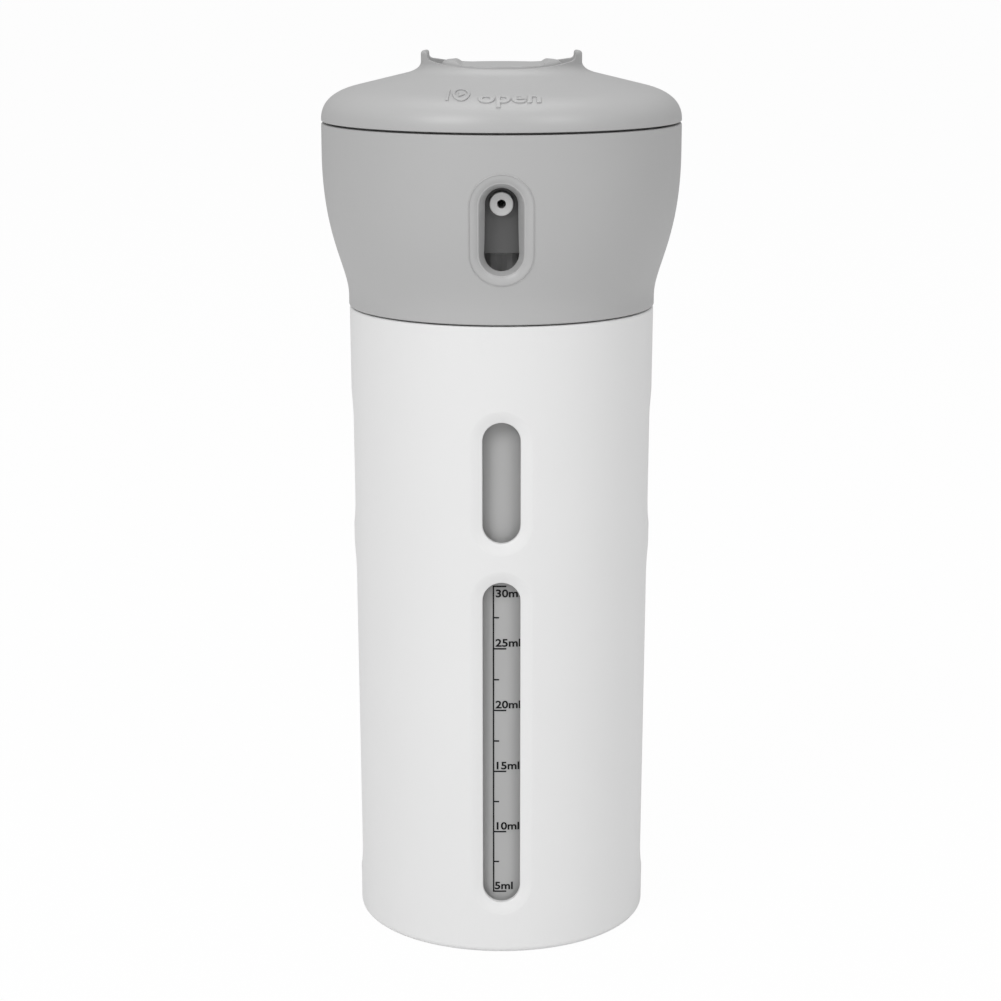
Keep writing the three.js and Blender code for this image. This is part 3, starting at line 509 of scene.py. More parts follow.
def cup_radius(z):
    return BASE_R + BODY_DRAFT * z / BODY_HEIGHT


def window_tool(bottom, top):
    rings = []
    for grow, inward in bezel_layers(BEZEL_WIDTH, BEZEL_DEPTH):
        outline = obround(WINDOW_WIDTH + 2 * grow, bottom - grow, top + grow)
        rings.append(wrapped(outline, cup_radius, inward))
    rings.append(wrapped(obround(WINDOW_WIDTH, bottom, top), cup_radius, 2.5 * SHELL_WALL))
    return loft("window_tool", rings)


print("window heights:", [round(top - bottom, 2) for bottom, top in WINDOWS])

# %% [markdown]
# ## The cup
# One deep moulding: a standing ring, a wall that widens slightly so that it leaves the mould,
# a shoulder, and a neck with the bead that the head snaps over. Its four columns of windows
# stand in front of the four bottles.

# %% Cup's profile
FLOOR, FOOT_RECESS, FOOT_WIDTH, FOOT_ROUND = 1.8, 0.8, 2.6, 0.4
BASE_ROUND, SHOULDER_ROUND = 1.2, 0.4
NECK_R, NECK_BORE_R = 26.85, 25.65
NECK_BEAD, NECK_BEAD_Z, NECK_BEAD_HEIGHT, BEAD_ROUND = 0.5, 3.6, 1.2, 0.2
FLOOR_TOP = FOOT_RECESS + FLOOR


def cup_profile():
    bead = BODY_HEIGHT + NECK_BEAD_Z
    bead_top = bead + NECK_BEAD_HEIGHT
    foot = BASE_R - BASE_ROUND - FOOT_WIDTH
    return rounded([
        (0, FOOT_RECESS), (foot - FOOT_RECESS, FOOT_RECESS, FOOT_ROUND), (foot, 0, FOOT_ROUND),
        (BASE_R, 0, BASE_ROUND), (BODY_R, BODY_HEIGHT, SHOULDER_ROUND),
        (NECK_R, BODY_HEIGHT), (NECK_R, bead - NECK_BEAD),
        (NECK_R + NECK_BEAD, bead, BEAD_ROUND), (NECK_R + NECK_BEAD, bead_top, BEAD_ROUND),
        (NECK_R, bead_top + NECK_BEAD), (NECK_R, NECK_TOP, EDGE),
        (NECK_BORE_R, NECK_TOP, EDGE), (NECK_BORE_R, BODY_HEIGHT - SHELL_WALL),
        (BODY_R - SHELL_WALL, BODY_HEIGHT - 2 * SHELL_WALL),
        (BASE_R - SHELL_WALL, FLOOR_TOP, BASE_ROUND), (0, FLOOR_TOP),
    ])


print("points round the cup's section:", len(cup_profile()))

# %% [markdown]
# The profile is turned, the windows are cut at each quarter turn, and two pegs are added inside
# on the floor, where the rack stands on them.

# %% Cup
PEG_R, PEG_X, PEG_TOP = 1.5, 12.0, 3.8
PEG_FOOT = FLOOR_TOP - 0.8  # sunk in the floor, so that the union is sound

cup = revolve("cup", cup_profile())
tools = [tool for low, high in WINDOWS for tool in quarter_turns(window_tool(low, high))]
combine(cup, tools, "DIFFERENCE")
for side in (-1, 1):
    peg_profile = rounded([(0, PEG_FOOT), (PEG_R, PEG_FOOT), (PEG_R, PEG_TOP, EDGE),
                           (0, PEG_TOP)], 3)
    peg = revolve("peg", peg_profile, 24, middle=(side * PEG_X, 0.0))
    combine(cup, [peg], "UNION")
dress(smooth(cup, 20), "cup_plastic", "cup", "shell")
print("cup faces:", len(cup.data.polygons))

# %% [markdown]
# ## The head
# The head sweeps from the cup's width out to the lid's in one curve, which is a single cubic
# curve in the drawing too. Its outlet slot has the same sloping border as the windows, and a
# sleeve that narrows inwards and hides the gap between wall and nozzle.

# %% Head's flank
RIM_R = 29.1
FLANK_HEIGHTS = (1.7, 7.409, 12.588, 28.984)  # of the curve's four points, above the rim
FLANK = [Vector((r, HEAD_Z + up))
         for r, up in zip((RIM_R, RIM_R, HEAD_TOP_R, HEAD_TOP_R), FLANK_HEIGHTS)]


def flank_point(t):
    a, b, c, d = FLANK
    s = 1 - t
    return a * s ** 3 + b * 3 * s * s * t + c * 3 * s * t * t + d * t ** 3


FLANK_POINTS = [flank_point(i / 60) for i in range(61)]


def head_radius(z):
    """Outer radius of the head at a height, read off the sweeping curve."""
    if z <= FLANK_POINTS[0].y:
        return RIM_R
    for low, high in zip(FLANK_POINTS, FLANK_POINTS[1:]):
        if z <= high.y:
            return low.x + (high.x - low.x) * (z - low.y) / (high.y - low.y)
    return HEAD_TOP_R


print("head's radius half way up:", round(head_radius((HEAD_Z + HEAD_TOP) / 2), 2))

# %% [markdown]
# Inside, the head's wall follows the flank. Its rim has a lip that snaps under the cup's bead,
# and its mouth is bored for the lid. The slot's border, raised line and sleeve are all the same
# slot outline, laid on the flank at different sizes and depths.

# %% Head's section and slot
RIM_BORE_R, HEAD_WALL = 27.15, 1.9
SNAP_UP, SNAP_ROUND, TURN_GAP = 2.4, 0.2, 0.3
MOUTH_BORE_R, MOUTH_Z = 31.75, 149.5
SLOT_BOTTOM, SLOT_TOP, SLOT_WIDTH, SLOT_BEZEL = 130.4, 147.0, 8.0, 1.6


def head_profile():
    bead_room = NECK_R + NECK_BEAD + TURN_GAP
    snap = HEAD_Z + SNAP_UP
    outside = [tuple(flank_point(i / 30)) for i in range(31)]
    inside = [(r - HEAD_WALL, z) for r, z in reversed(outside)
              if r - HEAD_WALL > bead_room + 0.1 and z < MOUTH_Z - 2]
    return rounded([
        (RIM_BORE_R, HEAD_Z + EDGE), (RIM_BORE_R + EDGE, HEAD_Z), (RIM_R, HEAD_Z, EDGE),
        *outside, (HEAD_TOP_R, HEAD_TOP, EDGE), (MOUTH_BORE_R, HEAD_TOP, SNAP_ROUND),
        (MOUTH_BORE_R, MOUTH_Z), *inside, (bead_room, NECK_TOP - 1),
        (bead_room, snap + NECK_BEAD), (RIM_BORE_R, snap, SNAP_ROUND),
    ], 4)


def slot_ring(grow, radius_at, inward):
    outline = obround(SLOT_WIDTH + 2 * grow, SLOT_BOTTOM - grow, SLOT_TOP + grow)
    return wrapped(outline, radius_at, inward)


print("points round the head's section:", len(head_profile()))

# %% [markdown]
# The lid's three lugs run in channels of the mouth: down an open one, then sideways for a
# twist of 25 degrees. Lugs and channels are sectors of a ring, and share their sizes.

# %% Lugs and their channels
LUG_OUT, LUG_HEIGHT, LUG_DEG, LUG_Z, OPEN_DEG = 0.9, 2.0, 10.0, 151.4, 25.0
LUG_GAP, LUG_GAP_DEG = 0.3, 0.8
SHUT_DEG = (90, 210, 330)


def ring_sector(inner, outer, start_deg, end_deg, bottom, top, steps=12):
    def arc(radius, a, b):
        angles = [math.radians(a + (b - a) * i / steps) for i in range(steps + 1)]
        return [(radius * math.cos(q), radius * math.sin(q)) for q in angles]
    outline = arc(outer, start_deg, end_deg) + arc(inner, end_deg, start_deg)
    return prism("sector", outline, bottom, top)


def channel_tools():
    half = LUG_DEG / 2 + LUG_GAP_DEG
    inner, outer = MOUTH_BORE_R - 1, MOUTH_BORE_R + LUG_OUT
    tools = []
    for shut in SHUT_DEG:
        tools.append(ring_sector(inner, outer, shut - half, shut + OPEN_DEG + half,
                                 LUG_Z - LUG_GAP, LUG_Z + LUG_HEIGHT + LUG_GAP))
        tools.append(ring_sector(inner, outer, shut + OPEN_DEG - half, shut + OPEN_DEG + half,
                                 LUG_Z, HEAD_TOP + 1))
    return tools


print("lugs at", SHUT_DEG, "degrees")

# %% [markdown]
# Now the head is put together: the turned shell, a sleeve behind the slot that narrows towards
# the nozzle, and a fine raised line round the border. Then one tool cuts border, slot and
# sleeve in a single pass, so that they line up.

# %% Head
SLOT_TAPER, SLEEVE_WALL, SLEEVE_DEPTH = 1.1, 1.2, 5.2
LINE_WIDE, LINE_HIGH = 0.3, 0.2  # the fine raised line round the border
nozzle_low, nozzle_high = box_mm("nozzle_1")
NOZZLE_Z = (nozzle_low.z + nozzle_high.z) / 2
SLEEVE_R = head_radius(NOZZLE_Z) - SLEEVE_DEPTH

head = revolve("head_shell", head_profile(), closed=True)
sleeve = loft("sleeve", [
    slot_ring(SLEEVE_WALL, head_radius, HEAD_WALL / 2),
    slot_ring(SLEEVE_WALL - SLOT_TAPER, lambda z: SLEEVE_R, 0),
])
raised_line = loft("raised_line", [
    slot_ring(SLOT_BEZEL + grow, head_radius, inward) for grow, inward in (
        (LINE_WIDE, 2 * LINE_HIGH), (LINE_WIDE, 0.0), (0.8 * LINE_WIDE, -0.7 * LINE_HIGH),
        (LINE_WIDE / 3, -LINE_HIGH), (-LINE_WIDE / 6, -LINE_HIGH), (-SLOT_BEZEL, -LINE_HIGH))])
combine(head, [sleeve, raised_line], "UNION")
slot_rings = [slot_ring(grow, head_radius, inward)
              for grow, inward in bezel_layers(SLOT_BEZEL - LINE_HIGH, BEZEL_DEPTH)]
slot_rings.append(slot_ring(-1.5 * SLOT_TAPER, lambda z: SLEEVE_R - SLEEVE_DEPTH / 2, 0))
combine(head, [loft("slot_tool", slot_rings), *channel_tools()], "DIFFERENCE")
dress(smooth(head, 20), "head_plastic", "head", "head")
print("head faces:", len(head.data.polygons))

# %% [markdown]
# ## The lid
# The lid is turned too, down to the guide tube that carries the button. A tool that runs from
# front to back then scoops the collar, which leaves an ear on each side as a grip for the
# twist. The square hole in the ledge keeps the button's arm pointing at the slot.

# %% Lid's curves
SPIGOT_DEPTH = 5.2
LID_Z = box_mm("lid")[0].z + SPIGOT_DEPTH
LID_RIM, LID_CORNER, LID_ROUND, LID_SLOPE = 0.35, 4.8, 6.4, 0.243
COLLAR_R, COLLAR_ROUND, COLLAR_RISE = 15.1, 3.0, 1.5
CORNER_Z = LID_Z + LID_CORNER


def lid_top(r):
    return CORNER_Z + (HEAD_TOP_R - r) * LID_SLOPE


def bend(start, control, end, steps):
    """A quadratic curve from start to end, as (r, z) points."""
    curve = []
    for i in range(steps + 1):
        t = i / steps
        curve.append(tuple(Vector(start) * (1 - t) ** 2 + Vector(control) * 2 * t * (1 - t)
                           + Vector(end) * t * t))
    return curve


def lid_shoulder():
    inward = HEAD_TOP_R - LID_ROUND
    return bend((HEAD_TOP_R, LID_Z + LID_RIM), (HEAD_TOP_R, CORNER_Z),
                (inward, lid_top(inward)), 24)


def lid_hollow():
    foot = lid_top(COLLAR_R)
    outward = COLLAR_R + COLLAR_ROUND
    return bend((outward, lid_top(outward)), (COLLAR_R, foot), (COLLAR_R, foot + COLLAR_RISE), 14)


print("lid's slope ends at", round(lid_top(COLLAR_R), 2), "mm")

# %% [markdown]
# Under the slope hang the spigot, which fits the head's mouth, and the guide tube with a ledge
# at its foot. On top stands the collar.

# %% Lid's section
LID_WALL, SPIGOT_R, SPIGOT_WALL = 1.6, 31.45, 1.4
COLLAR_WALL, COLLAR_FRONT, EAR_HEIGHT, EAR_ROUND, WELL_DROP = 1.3, 10.05, 12.85, 0.6, 1.1
BUTTON_HOLE_R, GUIDE_WALL = 11.6, 1.4
LEDGE_Z, LEDGE_TOP, SPINDLE, SPINDLE_ROUND = 151.0, 152.6, 6.4, 1.0


def lid_profile():
    under = LID_WALL * math.hypot(1, LID_SLOPE)
    guide, bore = BUTTON_HOLE_R + GUIDE_WALL, SPIGOT_R - SPIGOT_WALL
    ear, front = LID_Z + EAR_HEIGHT, LID_Z + COLLAR_FRONT
    collar_bore = COLLAR_R - COLLAR_WALL
    return rounded([
        (SPINDLE / 2 - 1, LEDGE_Z), (guide, LEDGE_Z, EDGE), (guide, lid_top(guide) - under, 0.5),
        (bore, lid_top(bore) - under, 2), (bore, LID_Z - SPIGOT_DEPTH),
        (SPIGOT_R, LID_Z - SPIGOT_DEPTH, EDGE), (SPIGOT_R, LID_Z), (HEAD_TOP_R, LID_Z, 0.2),
        *lid_shoulder(), *lid_hollow(), (COLLAR_R, ear, EAR_ROUND),
        (collar_bore, ear, EAR_ROUND), (collar_bore, front - WELL_DROP / 3, 0.4),
        (BUTTON_HOLE_R, front - WELL_DROP, EDGE), (BUTTON_HOLE_R, LEDGE_TOP),
        (SPINDLE / 2 - 1, LEDGE_TOP),
    ], 12)


print("points round the lid's section:", len(lid_profile()))

# %% [markdown]
# The collar's edge is level at the front, and rises with the cube of the distance sideways.
# Near the side it turns up into the ear, and the same outline rounds the ear's tip.

# %% Collar's edge
COLLAR_SIDE, EAR_TURN, EAR_TIP = 1.3, 0.9, 0.8


def across(name, outline, length):
    """An (x, z) outline carried from front to back."""
    return loft(name, [[(x, y, z) for x, z in outline] for y in (-length, length)])


def saddle_outline():
    """What is scooped out of the collar, seen from the front."""
    reach = COLLAR_R - COLLAR_WALL - 0.1
    front, tip = LID_Z + COLLAR_FRONT, LID_Z + EAR_HEIGHT
    half = [(reach * t, front + COLLAR_SIDE * t ** 3) for t in (i / 26 for i in range(25))]
    low = half[-1]
    half += bend(low, (reach, low[1] + 0.1), (reach, low[1] + EAR_TURN), 8)[1:]
    half += bend((reach, tip - EAR_TIP), (reach, tip), (reach + 0.7, tip), 8)
    half.append((reach + 0.7, tip + 1))
    return half + [(-x, z) for x, z in reversed(half[1:])]


def spindle_outline(larger=0.0):
    half = SPINDLE / 2 + larger
    return rounded([(-half, -half, SPINDLE_ROUND), (half, -half, SPINDLE_ROUND),
                    (half, half, SPINDLE_ROUND), (-half, half, SPINDLE_ROUND)])


print("ears reach", round(LID_Z + EAR_HEIGHT, 2), "mm")


# %% Lid
def soften(obj, width, segments, angle_deg):
    """Rounds the edges that booleans left sharp."""
    bevel = obj.modifiers.new("edge", "BEVEL")
    bevel.width, bevel.segments, bevel.angle_limit = width * MM, segments, math.radians(angle_deg)


lid = revolve("lid_shell", lid_profile(), closed=True)
combine(lid, [across("saddle", saddle_outline(), HEAD_TOP_R),
              prism("spindle_hole", spindle_outline(TURN_GAP), LEDGE_Z - 1, LEDGE_TOP + 1)],
        "DIFFERENCE")
lugs = [ring_sector(SPIGOT_R - SPIGOT_WALL / 2, SPIGOT_R + LUG_OUT, shut - LUG_DEG / 2,
                    shut + LUG_DEG / 2, LUG_Z, LUG_Z + LUG_HEIGHT) for shut in SHUT_DEG]
combine(lid, lugs, "UNION")
soften(lid, 0.25, 3, 50)
dress(smooth(lid, 28), "head_plastic", "lid", "lid")
print("lid faces:", len(lid.data.polygons))

# %% [markdown]
# ### The raised sign on the lid
# The slope carries a turning sign and the word open, raised by the mould. A text curve becomes
# a mesh in its own flat coordinates, and is cut into small faces, so that it can bend.

# %% Text as a mesh
def text_mesh(name, words, size, depth, bevel=0.0, bold=0.0):
    """Text as a mesh in its own flat coordinates, in millimetres."""
    curve = bpy.data.curves.new(name, "FONT")
    curve.body, curve.size, curve.extrude, curve.resolution_u = words, size, depth, 4
    curve.align_x, curve.offset = "LEFT", bold
    curve.bevel_depth, curve.bevel_resolution = bevel, 1
    holder = placed(name, curve)
    graph = bpy.context.evaluated_depsgraph_get()
    mesh = bpy.data.meshes.new_from_object(holder.evaluated_get(graph))
    bpy.data.objects.remove(holder)
    return placed(name, mesh)


def fit_width(obj, left, right):
    """Scales a text mesh across, so that it lies between two places on the line."""
    xs = [v.co.x for v in obj.data.vertices]
    low, high = min(xs), max(xs)
    for v in obj.data.vertices:
        v.co.x = left + (v.co.x - low) * (right - left) / (high - low)


def bendable(obj):
    """Splits a flat raised shape into small faces, so that it can follow the lid."""
    longest = 0.7
    work = bmesh.new()
    work.from_mesh(obj.data)
    bmesh.ops.triangulate(work, faces=work.faces)
    for _ in range(3):
        long_edges = [e for e in work.edges if e.calc_length() > longest]
        bmesh.ops.subdivide_edges(work, edges=long_edges, cuts=1)
        bmesh.ops.triangulate(work, faces=work.faces)
    work.to_mesh(obj.data)
    work.free()
    return obj


WORD_LEFT, WORD_RIGHT = -4.2, 7.0

word = text_mesh("open_letters", "open", 5.5, 0.16, bevel=0.1, bold=0.04)
fit_width(word, WORD_LEFT, WORD_RIGHT)
bendable(word)
print("faces of the word:", len(word.data.polygons))

# %% [markdown]
# Each point is then laid on the lid. Across stays as it is seen from the front, up is a walk
# along the lid's profile, and the text's own thickness stands off the surface.

# %% Raised letters
LID_LINE = [Vector(p) for p in lid_shoulder() + lid_hollow()[:1]]
SIGN_FOOT = 5.8  # the letters' base line, a walk up from the joint line


def lid_spot(up):
    """Point and outward normal of the lid's profile, a walk above the base line."""
    left = SIGN_FOOT + up
    for low, high in zip(LID_LINE, LID_LINE[1:]):
        along = high - low
        if left <= along.length or high is LID_LINE[-1]:
            along.normalize()
            return low + along * left, Vector((along.y, -along.x))
        left -= along.length


def lay_on_lid(obj):
    for v in obj.data.vertices:
        x, up, out = v.co
        spot, normal = lid_spot(up)
        r, z = spot.x + normal.x * out, spot.y + normal.y * out
        angle = math.asin(x / r)
        v.co = (MM * r * math.sin(angle), -MM * r * math.cos(angle), MM * z)


lay_on_lid(word)
dress(smooth(word, 40), "head_plastic", "lid")
print("letters laid between", WORD_LEFT, "and", WORD_RIGHT, "mm")

# %% [markdown]
# The sign beside the word shows which way the lid turns to open: a ring with an arrow head in
# it, and a slanted stroke before it. Its lines are as wide as those of the letters, because
# one cutter made them all.

# %% Turning sign
SIGN_THICK, SIGN_X, STROKE_X = 0.44, -7.15, -9.55
RING_R, RING_LINE, RING_STEPS = 1.35, 0.42, 48


def ring_outline():
    """A ring as one outline, which doubles back on itself at a hairline gap."""
    def circle(r, turns):
        return [(r * math.cos(2 * math.pi * t), r * math.sin(2 * math.pi * t)) for t in turns]
    turns = [i / RING_STEPS * 0.999 for i in range(RING_STEPS + 1)]
    return circle(RING_R + RING_LINE / 2, turns) + circle(RING_R - RING_LINE / 2, reversed(turns))


def sign_piece(name, outline, centre, stretch):
    """A raised flat outline, cut into narrow strips so that it bends with the lid."""
    flat = flat_piece(name, [(centre[0] + x, centre[1] + y * stretch) for x, y in outline],
                      SIGN_THICK)
    lay_on_lid(bendable(flat))
    return dress(smooth(flat, 40), "head_plastic", "lid")


arrow = rounded([(-0.6, -0.62, 0.1), (0.75, 0.0, 0.1), (-0.6, 0.62, 0.1), (-0.3, 0.0, 0.1)])
stroke = [(-0.35, -2.4), (0.1, -2.4), (0.45, 2.6), (0.0, 2.6)]
sign_piece("turn_ring", ring_outline(), (SIGN_X, 3.5), 2.0)
sign_piece("turn_arrow", arrow, (SIGN_X, 3.2), 2.2)
sign_piece("turn_mark", stroke, (STROKE_X, 2.9), 1.0)
print("sign laid on the lid")

# %% [markdown]
# ## The button
# A cap with a skirt that slides in the lid's guide. Its top is hollowed from front to back
# between two rounded grips, where the thumb rests. Each grip rises in a curve that is level at
# both ends. Below, a square socket takes the arm's spindle.

# %% Button cap
button_low, button_high = box_mm("button_cap")
SKIRT_Z, BUTTON_R, BUTTON_WALL = button_low.z, button_high.y, 1.4
BUTTON_TOP = button_high.z - 1.1  # the hollow between the grips
GRIP_HEIGHT, GRIP_SPAN, GRIP_LEAN = 0.8, 14.2, 1.6
SOCKET_R, SOCKET_TOP = 5.83, 0.7


def grip_outline(top):
    """What is hollowed out between the grips, seen from the front."""
    half, steps = GRIP_SPAN / 2, 12
    wide = half + GRIP_LEAN
    right = [(half + GRIP_LEAN * t, BUTTON_TOP + GRIP_HEIGHT * t * t * (3 - 2 * t))
             for t in (i / steps for i in range(steps + 1))]
    right += [(wide + 0.3, top + 0.05), (wide + 0.3, top + 2)]
    return right + [(-x, z) for x, z in reversed(right)]


def button():
    bore, under = BUTTON_R - BUTTON_WALL, BUTTON_TOP - BUTTON_WALL
    top = BUTTON_TOP + GRIP_HEIGHT
    cap = revolve("button", rounded([
        (0, under), (bore, under, 0.4), (bore, SKIRT_Z), (BUTTON_R, SKIRT_Z, 0.2),
        (BUTTON_R, top, 1.2), (0, top)], 8), 144)
    combine(cap, [across("scoop", grip_outline(top), HEAD_TOP_R)], "DIFFERENCE")
    socket = revolve("socket", rounded([
        (0, SKIRT_Z), (SOCKET_R, SKIRT_Z, EDGE), (SOCKET_R, under + SOCKET_TOP),
        (0, under + SOCKET_TOP)]), 64)
    combine(cap, [socket], "UNION")
    combine(cap, [prism("square", spindle_outline(TURN_GAP), SKIRT_Z - 1, under)], "DIFFERENCE")
    soften(cap, 0.25, 3, 24)
    return dress(smooth(cap, 28), "head_plastic", "button", "button_cap")


print("button faces:", len(button().data.polygons))

# %% [markdown]
# ## Actuators
# Each pump ends in an actuator: a round block with a nozzle towards the wall. Only the one
# behind the slot can be seen, but all four are made, because the head turns to each of them.
# One is built at the front, and its mesh is turned for the others. Bars that point forward make
# the nozzle, its seat and its bore.

# %% Forward bars
def forward_bar(name, radius, start, end, sides=40, edge=0.0):
    """A round bar along -Y at the nozzle's height, whose far end can be rounded."""
    steps = [(radius, start), (radius, end - edge)]
    if edge:
        steps += [(radius - edge * (1 - math.cos(a)), end - edge + edge * math.sin(a))
                  for a in (math.pi / 8 * i for i in range(1, 5))]
    turn = [2 * math.pi * k / sides for k in range(sides)]
    return loft(name, [[(r * math.cos(a), -y, NOZZLE_Z + r * math.sin(a)) for a in turn]
                       for r, y in steps])


actuator_low, actuator_high = box_mm("actuator_1")
ACTUATOR_Z, ACTUATOR_TOP, ACTUATOR_R = actuator_low.z, actuator_high.z, actuator_high.x
PUMP_RADIUS = -(actuator_low.y + actuator_high.y) / 2
ACTUATOR_FACE = PUMP_RADIUS + ACTUATOR_R
print("pumps stand", round(PUMP_RADIUS, 2), "mm from the axis")

# %% [markdown]
# The block has a socket for the stem below and a seat for the nozzle in front. The nozzle's
# spigot goes into the seat, and its bore runs through both.

# %% Actuators and nozzles
STEM_SOCKET_R, STEM_SOCKET_TOP = 2.2, 145.0
NOZZLE_R, NOZZLE_BORE_R, NOZZLE_EDGE = nozzle_high.x, 0.8, 0.25
SEAT_R, SPIGOT_BAR_R, SEAT_GAP, SEAT_BACK = 1.75, 1.45, 0.3, ACTUATOR_FACE - 3.0
NOZZLE_TIP = SLEEVE_R - 0.6


def actuator_mesh():
    middle = (0.0, -PUMP_RADIUS)
    block = revolve("actuator", rounded([
        (0, ACTUATOR_Z), (ACTUATOR_R, ACTUATOR_Z, 0.4), (ACTUATOR_R, ACTUATOR_TOP, 0.8),
        (0, ACTUATOR_TOP)], 6), 96, middle=middle)
    socket = revolve("socket", [
        (0, ACTUATOR_Z - 1), (STEM_SOCKET_R, ACTUATOR_Z - 1), (STEM_SOCKET_R, STEM_SOCKET_TOP),
        (0, STEM_SOCKET_TOP)], 40, middle=middle)
    seat = forward_bar("seat", SEAT_R, SEAT_BACK, ACTUATOR_FACE + 1)
    bore = forward_bar("bore", NOZZLE_BORE_R, PUMP_RADIUS, ACTUATOR_FACE)
    return combine(block, [bore, seat, socket], "DIFFERENCE")


def nozzle_mesh():
    tip = forward_bar("nozzle", NOZZLE_R, ACTUATOR_FACE + SEAT_GAP, NOZZLE_TIP, 64, NOZZLE_EDGE)
    spigot = forward_bar("spigot", SPIGOT_BAR_R, SEAT_BACK + SEAT_GAP, ACTUATOR_FACE + 2)
    combine(tip, [spigot], "UNION")
    bore = forward_bar("bore", NOZZLE_BORE_R, SEAT_BACK - 1, NOZZLE_TIP + 1)
    return combine(tip, [bore], "DIFFERENCE")


def on_all_stations(first, name, slot, body, *nodes, material=None):
    """The first piece and three turned copies. In the names, {} is the station's number."""
    for n, piece in zip(STATIONS, quarter_turns(first)):
        piece.name = f"{name}_{n}"
        dress(smooth(piece), slot, body.format(n), *(node.format(n) for node in nodes),
              material=material)


on_all_stations(actuator_mesh(), "actuator_block", "inner_plastic", "pump_{}", "actuator_{}")
on_all_stations(nozzle_mesh(), "nozzle_tip", "pump_plastic", "pump_{}", "nozzle_{}")
print("actuators placed")

# %% [markdown]
# Between nozzle and slot stands a thin curved near-black plate: painted shade that keeps the
# slot dark. It rides with the nozzle, whichever way the pump stands. The nozzle passes through
# it, and it is tall enough to cover the slot when the pump is pressed down too.

# %% Shade plates, painted shade behind the slots
CLOSURE_TOP = box_mm("closure_1")[1].z
SHADE_PLATE_R, SHADE_PLATE_WALL, SHADE_PLATE_HALF_DEG, SHADE_PLATE_OVER, SHADE_PLATE_GAP = 26.6, 0.6, 12.0, 5.5, 0.1


def shade_plate_mesh():
    plate = ring_sector(SHADE_PLATE_R - SHADE_PLATE_WALL, SHADE_PLATE_R, -90 - SHADE_PLATE_HALF_DEG,
                        -90 + SHADE_PLATE_HALF_DEG, CLOSURE_TOP + SHADE_PLATE_GAP, SLOT_TOP + SHADE_PLATE_OVER, 24)
    hole = forward_bar("hole", NOZZLE_R + SHADE_PLATE_GAP, SHADE_PLATE_R - 3, SHADE_PLATE_R + 3, 64)
    return combine(plate, [hole], "DIFFERENCE")


# painted shade: a dark plate behind each slot stands in for the shade inside the head
on_all_stations(shade_plate_mesh(), "shade_plate", "inner_plastic", "pump_{}", material=SHADE_PLATE_GREY)
print("guards", round(SLOT_TOP + SHADE_PLATE_OVER - CLOSURE_TOP, 2), "mm tall")

# %% [markdown]
# ## Bottles
# A bottle's section is a quarter circle with soft corners. The section function takes an inset,
# so the same loft gives the foot's rounding, the wall, the domed shoulder and the hollow.

# %% Quarter-round section
bottle_low, bottle_high = box_mm("bottle_1")
BOTTLE_R, BOTTLE_Z, BOTTLE_MOUTH = -bottle_low.y, bottle_low.z, bottle_high.z
BOTTLE_FLAT, BOTTLE_WALL, BOTTLE_CORNER, BOTTLE_TIP, LEAST_ROUND = 0.9, 1.0, 4.0, 3.0, 0.6


def quarter_ring(inset, z):
    """The section at a height. Its flats lie a little off the planes between the bottles."""
    flat, outer = BOTTLE_FLAT + inset, BOTTLE_R - inset
    corner = max(BOTTLE_CORNER - inset, LEAST_ROUND)
    tip = max(BOTTLE_TIP - inset, LEAST_ROUND)
    quarter = math.pi / 4
    tip_y = (flat + tip) / math.sin(quarter)
    along = math.sqrt((outer - corner) ** 2 - (flat + corner) ** 2)
    lean = quarter - math.atan2(flat + corner, along)
    cx, cy = (outer - corner) * math.sin(lean), (outer - corner) * math.cos(lean)
    square = quarter + math.pi / 2

    def arc(x, y, radius, start, end, steps):
        angles = [start + (end - start) * i / steps for i in range(steps + 1)]
        return [(x + radius * math.sin(a), -(y + radius * math.cos(a)), z) for a in angles]
    return (arc(0, 0, outer, -lean, lean, 40)
            + arc(cx, cy, corner, lean, square, 10)[1:]
            + arc(0, tip_y, tip, square, 2 * math.pi - square, 12)
            + arc(-cx, cy, corner, -square, -lean, 10)[:-1])


print("points round a bottle:", len(quarter_ring(0.0, 0.0)))

# %% [markdown]
# The foot follows a quarter circle, and the shoulder a quarter of an ellipse. The same form,
# smaller by the wall, is cut out of it, and the neck is added before its bore is cut.

# %% Bottles
BOTTLE_TOP, FOOT_CURVE, SHOULDER_IN, SHOULDER_DOWN = 119.9, 1.4, 5.5, 5.0
MOUTH_R, MOUTH_BORE = 6.6, 5.2


def bottle_form(name, wall):
    foot, top, side = BOTTLE_Z + wall, BOTTLE_TOP - wall, BOTTLE_TOP - SHOULDER_DOWN
    rings = []
    for a in (math.pi / 2 * i / 5 for i in range(6)):
        rings.append(quarter_ring(wall + FOOT_CURVE * (1 - math.sin(a)),
                                  foot + FOOT_CURVE * (1 - math.cos(a))))
    for a in (math.pi / 2 * i / 8 for i in range(9)):
        rings.append(quarter_ring(wall + SHOULDER_IN * (1 - math.cos(a)),
                                  side + (top - side) * math.sin(a)))
    return loft(name, rings)


def bottle_mesh():
    middle = (0.0, -PUMP_RADIUS)

    def round_bar(name, radius, low, high):
        return revolve(name, [(0, low), (radius, low), (radius, high), (0, high)], 64,
                       middle=middle)
    body = bottle_form("bottle", 0.0)
    combine(body, [round_bar("neck", MOUTH_R, BOTTLE_TOP - 1, BOTTLE_MOUTH)], "UNION")
    bore = round_bar("bore", MOUTH_BORE, BOTTLE_TOP - 2, BOTTLE_MOUTH + 1)
    return combine(body, [bottle_form("hollow", BOTTLE_WALL), bore], "DIFFERENCE")


on_all_stations(bottle_mesh(), "bottle_body", "bottle_plastic", "cup", "bottle_{}")
print("bottles placed")

# %% [markdown]
# ## The printed level scale
# A line with a long tick every five millilitres and a short one between, and a number at each
# long tick. The print is a film on the round face: flat shapes whose points are laid on it,
# standing off by a few hundredths of a millimetre.

